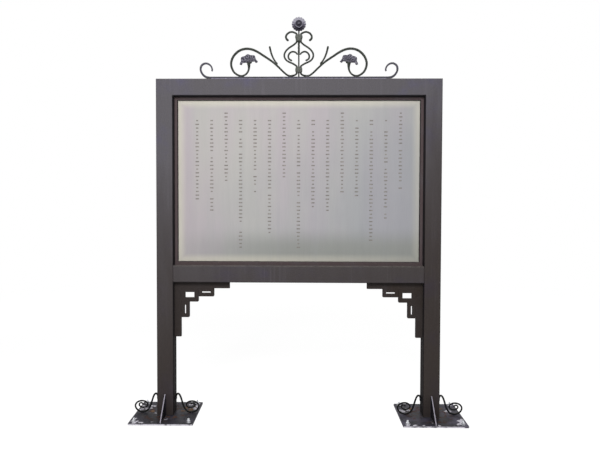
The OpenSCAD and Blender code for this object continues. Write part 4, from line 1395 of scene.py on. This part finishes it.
class BOARD_OT_stage(Operator):
    """Lay the floor, hang the lamps and set the camera"""
    bl_idname = "board.stage"
    bl_label = "Stage"

    def execute(self, context):
        scene, studio = context.scene, context.scene.studio_setup
        scene.view_settings.view_transform = "Standard"
        self.world(scene, studio)
        self.floor(scene, studio)
        self.lamp(scene, "key_lamp", studio.key, *KEY_LAMP).visible_glossy = False
        self.lamp(scene, "back_lamp", studio.back, *BACK_LAMP)
        self.camera(scene, studio)
        return {"FINISHED"}

    def lamp(self, scene, name, power, place, target, size):
        light = bpy.data.lights.new(name, "AREA")
        light.shape = "RECTANGLE"
        light.size, light.size_y = size
        light.energy = power
        lamp = bpy.data.objects.new(name, light)
        lamp.location = place
        lamp.rotation_euler = (Vector(target) - Vector(place)).to_track_quat("-Z", "Y").to_euler()
        scene.collection.objects.link(lamp)
        return lamp

    def world(self, scene, studio):
        """Even light for the object, and plain white for what the camera and gloss see."""
        scene.world = bpy.data.worlds.new("studio")
        scene.world.use_nodes = True
        sky = Nodes(scene.world.node_tree)
        sky.tree.nodes.clear()
        strength = sky.put("ShaderNodeMix", {0: sky.seen_by("Glossy", "Transmission"),
                                             2: studio.ambient, 3: 1.0})
        light = sky.put("ShaderNodeBackground", {"Color": (1.0, 1.0, 1.0, 1.0),
                                                 "Strength": strength})
        sky.feed(sky.tree.nodes.new("ShaderNodeOutputWorld").inputs["Surface"], light)

    def floor(self, scene, studio):
        """A pale floor that the camera sees as white outside the shadow."""
        coat = Coat("pale_floor", studio.floor, gloss=0.0)
        coat.shader["Base Color"].default_value = rgba(studio.floor)
        coat.shader["Roughness"].default_value = 0.9
        away = coat.put("ShaderNodeVectorMath", {0: coat.place()}, "Value", operation="LENGTH")
        share = coat.seen_by("Glossy") * away.spread(studio.near, studio.far, studio.glow, 1.0)
        strength = away.spread(studio.near, studio.far, studio.lift, 1.0)
        glow = coat.put("ShaderNodeEmission", {"Strength": strength})
        paint = Signal(coat, coat.tree.nodes["Principled BSDF"].outputs[0])
        mix = coat.put("ShaderNodeMixShader", {0: share, 1: paint, 2: glow})
        coat.feed(coat.tree.nodes["Material Output"].inputs["Surface"], mix)
        bm = bmesh.new()
        bmesh.ops.create_circle(bm, cap_ends=True, radius=FLOOR_R, segments=96)
        floor = bpy.data.objects.new("floor", mesh_of(bm, "floor"))
        floor.data.materials.append(coat.material)
        scene.collection.objects.link(floor)

    def camera(self, scene, studio):
        yaw, pitch, roll = studio.yaw, studio.pitch, studio.roll
        right = Vector((math.cos(yaw), math.sin(yaw), 0.0))
        level = Vector((-math.sin(yaw), math.cos(yaw), 0.0))
        ahead = level * math.cos(pitch) + Vector((0.0, 0.0, math.sin(pitch)))
        up = right.cross(ahead)
        across = right * math.cos(roll) + up * math.sin(roll)
        above = up * math.cos(roll) - right * math.sin(roll)
        lens = bpy.data.cameras.new("camera")
        lens.sensor_fit = "HORIZONTAL"
        lens.sensor_width = 36.0
        lens.lens = studio.lens
        lens.shift_x, lens.shift_y = studio.shift_x, studio.shift_y
        lens.clip_end = 100.0
        camera = bpy.data.objects.new("camera", lens)
        turn = Matrix((across, above, -ahead)).transposed().to_4x4()
        camera.matrix_world = Matrix.Translation(studio.stand) @ turn
        scene.collection.objects.link(camera)
        scene.camera = camera


class BOARD_PT_sidebar(Panel):
    """Lists the board's steps and the values that shape them"""
    bl_label = "Notice Board"
    bl_space_type = "VIEW_3D"
    bl_region_type = "UI"
    bl_category = "Notice Board"

    def draw(self, context):
        for step in STEPS:
            self.layout.operator(step.bl_idname)
        for group in LOOKS:
            box = self.layout.box()
            box.label(text=LOOKS[group].__doc__)
            values = getattr(context.scene, group)
            for name in LOOKS[group].__annotations__:
                box.prop(values, name)


STEPS = (BOARD_OT_tubes, BOARD_OT_joints, BOARD_OT_frets, BOARD_OT_notice, BOARD_OT_rear,
         BOARD_OT_feet, BOARD_OT_anchors, BOARD_OT_crest_base, BOARD_OT_crest_bars,
         BOARD_OT_collars, BOARD_OT_castings, BOARD_OT_stage)
LOOKS = {"paint_look": PaintLook, "metal_look": MetalLook, "notice_layout": NoticeLayout,
         "fixing_sizes": FixingSizes, "studio_setup": StudioSetup}


def register():
    for kind in (*LOOKS.values(), *STEPS, BOARD_PT_sidebar):
        bpy.utils.register_class(kind)
    for name, kind in LOOKS.items():
        setattr(bpy.types.Scene, name, PointerProperty(type=kind))


def unregister():
    for name in LOOKS:
        delattr(bpy.types.Scene, name)
    for kind in (BOARD_PT_sidebar, *reversed(STEPS), *LOOKS.values()):
        bpy.utils.unregister_class(kind)


def main():
    register()
    make_materials(bpy.context.scene)
    for step in STEPS:
        family, name = step.bl_idname.split(".")
        getattr(getattr(bpy.ops, family), name)()


if __name__ == "__main__":
    main()
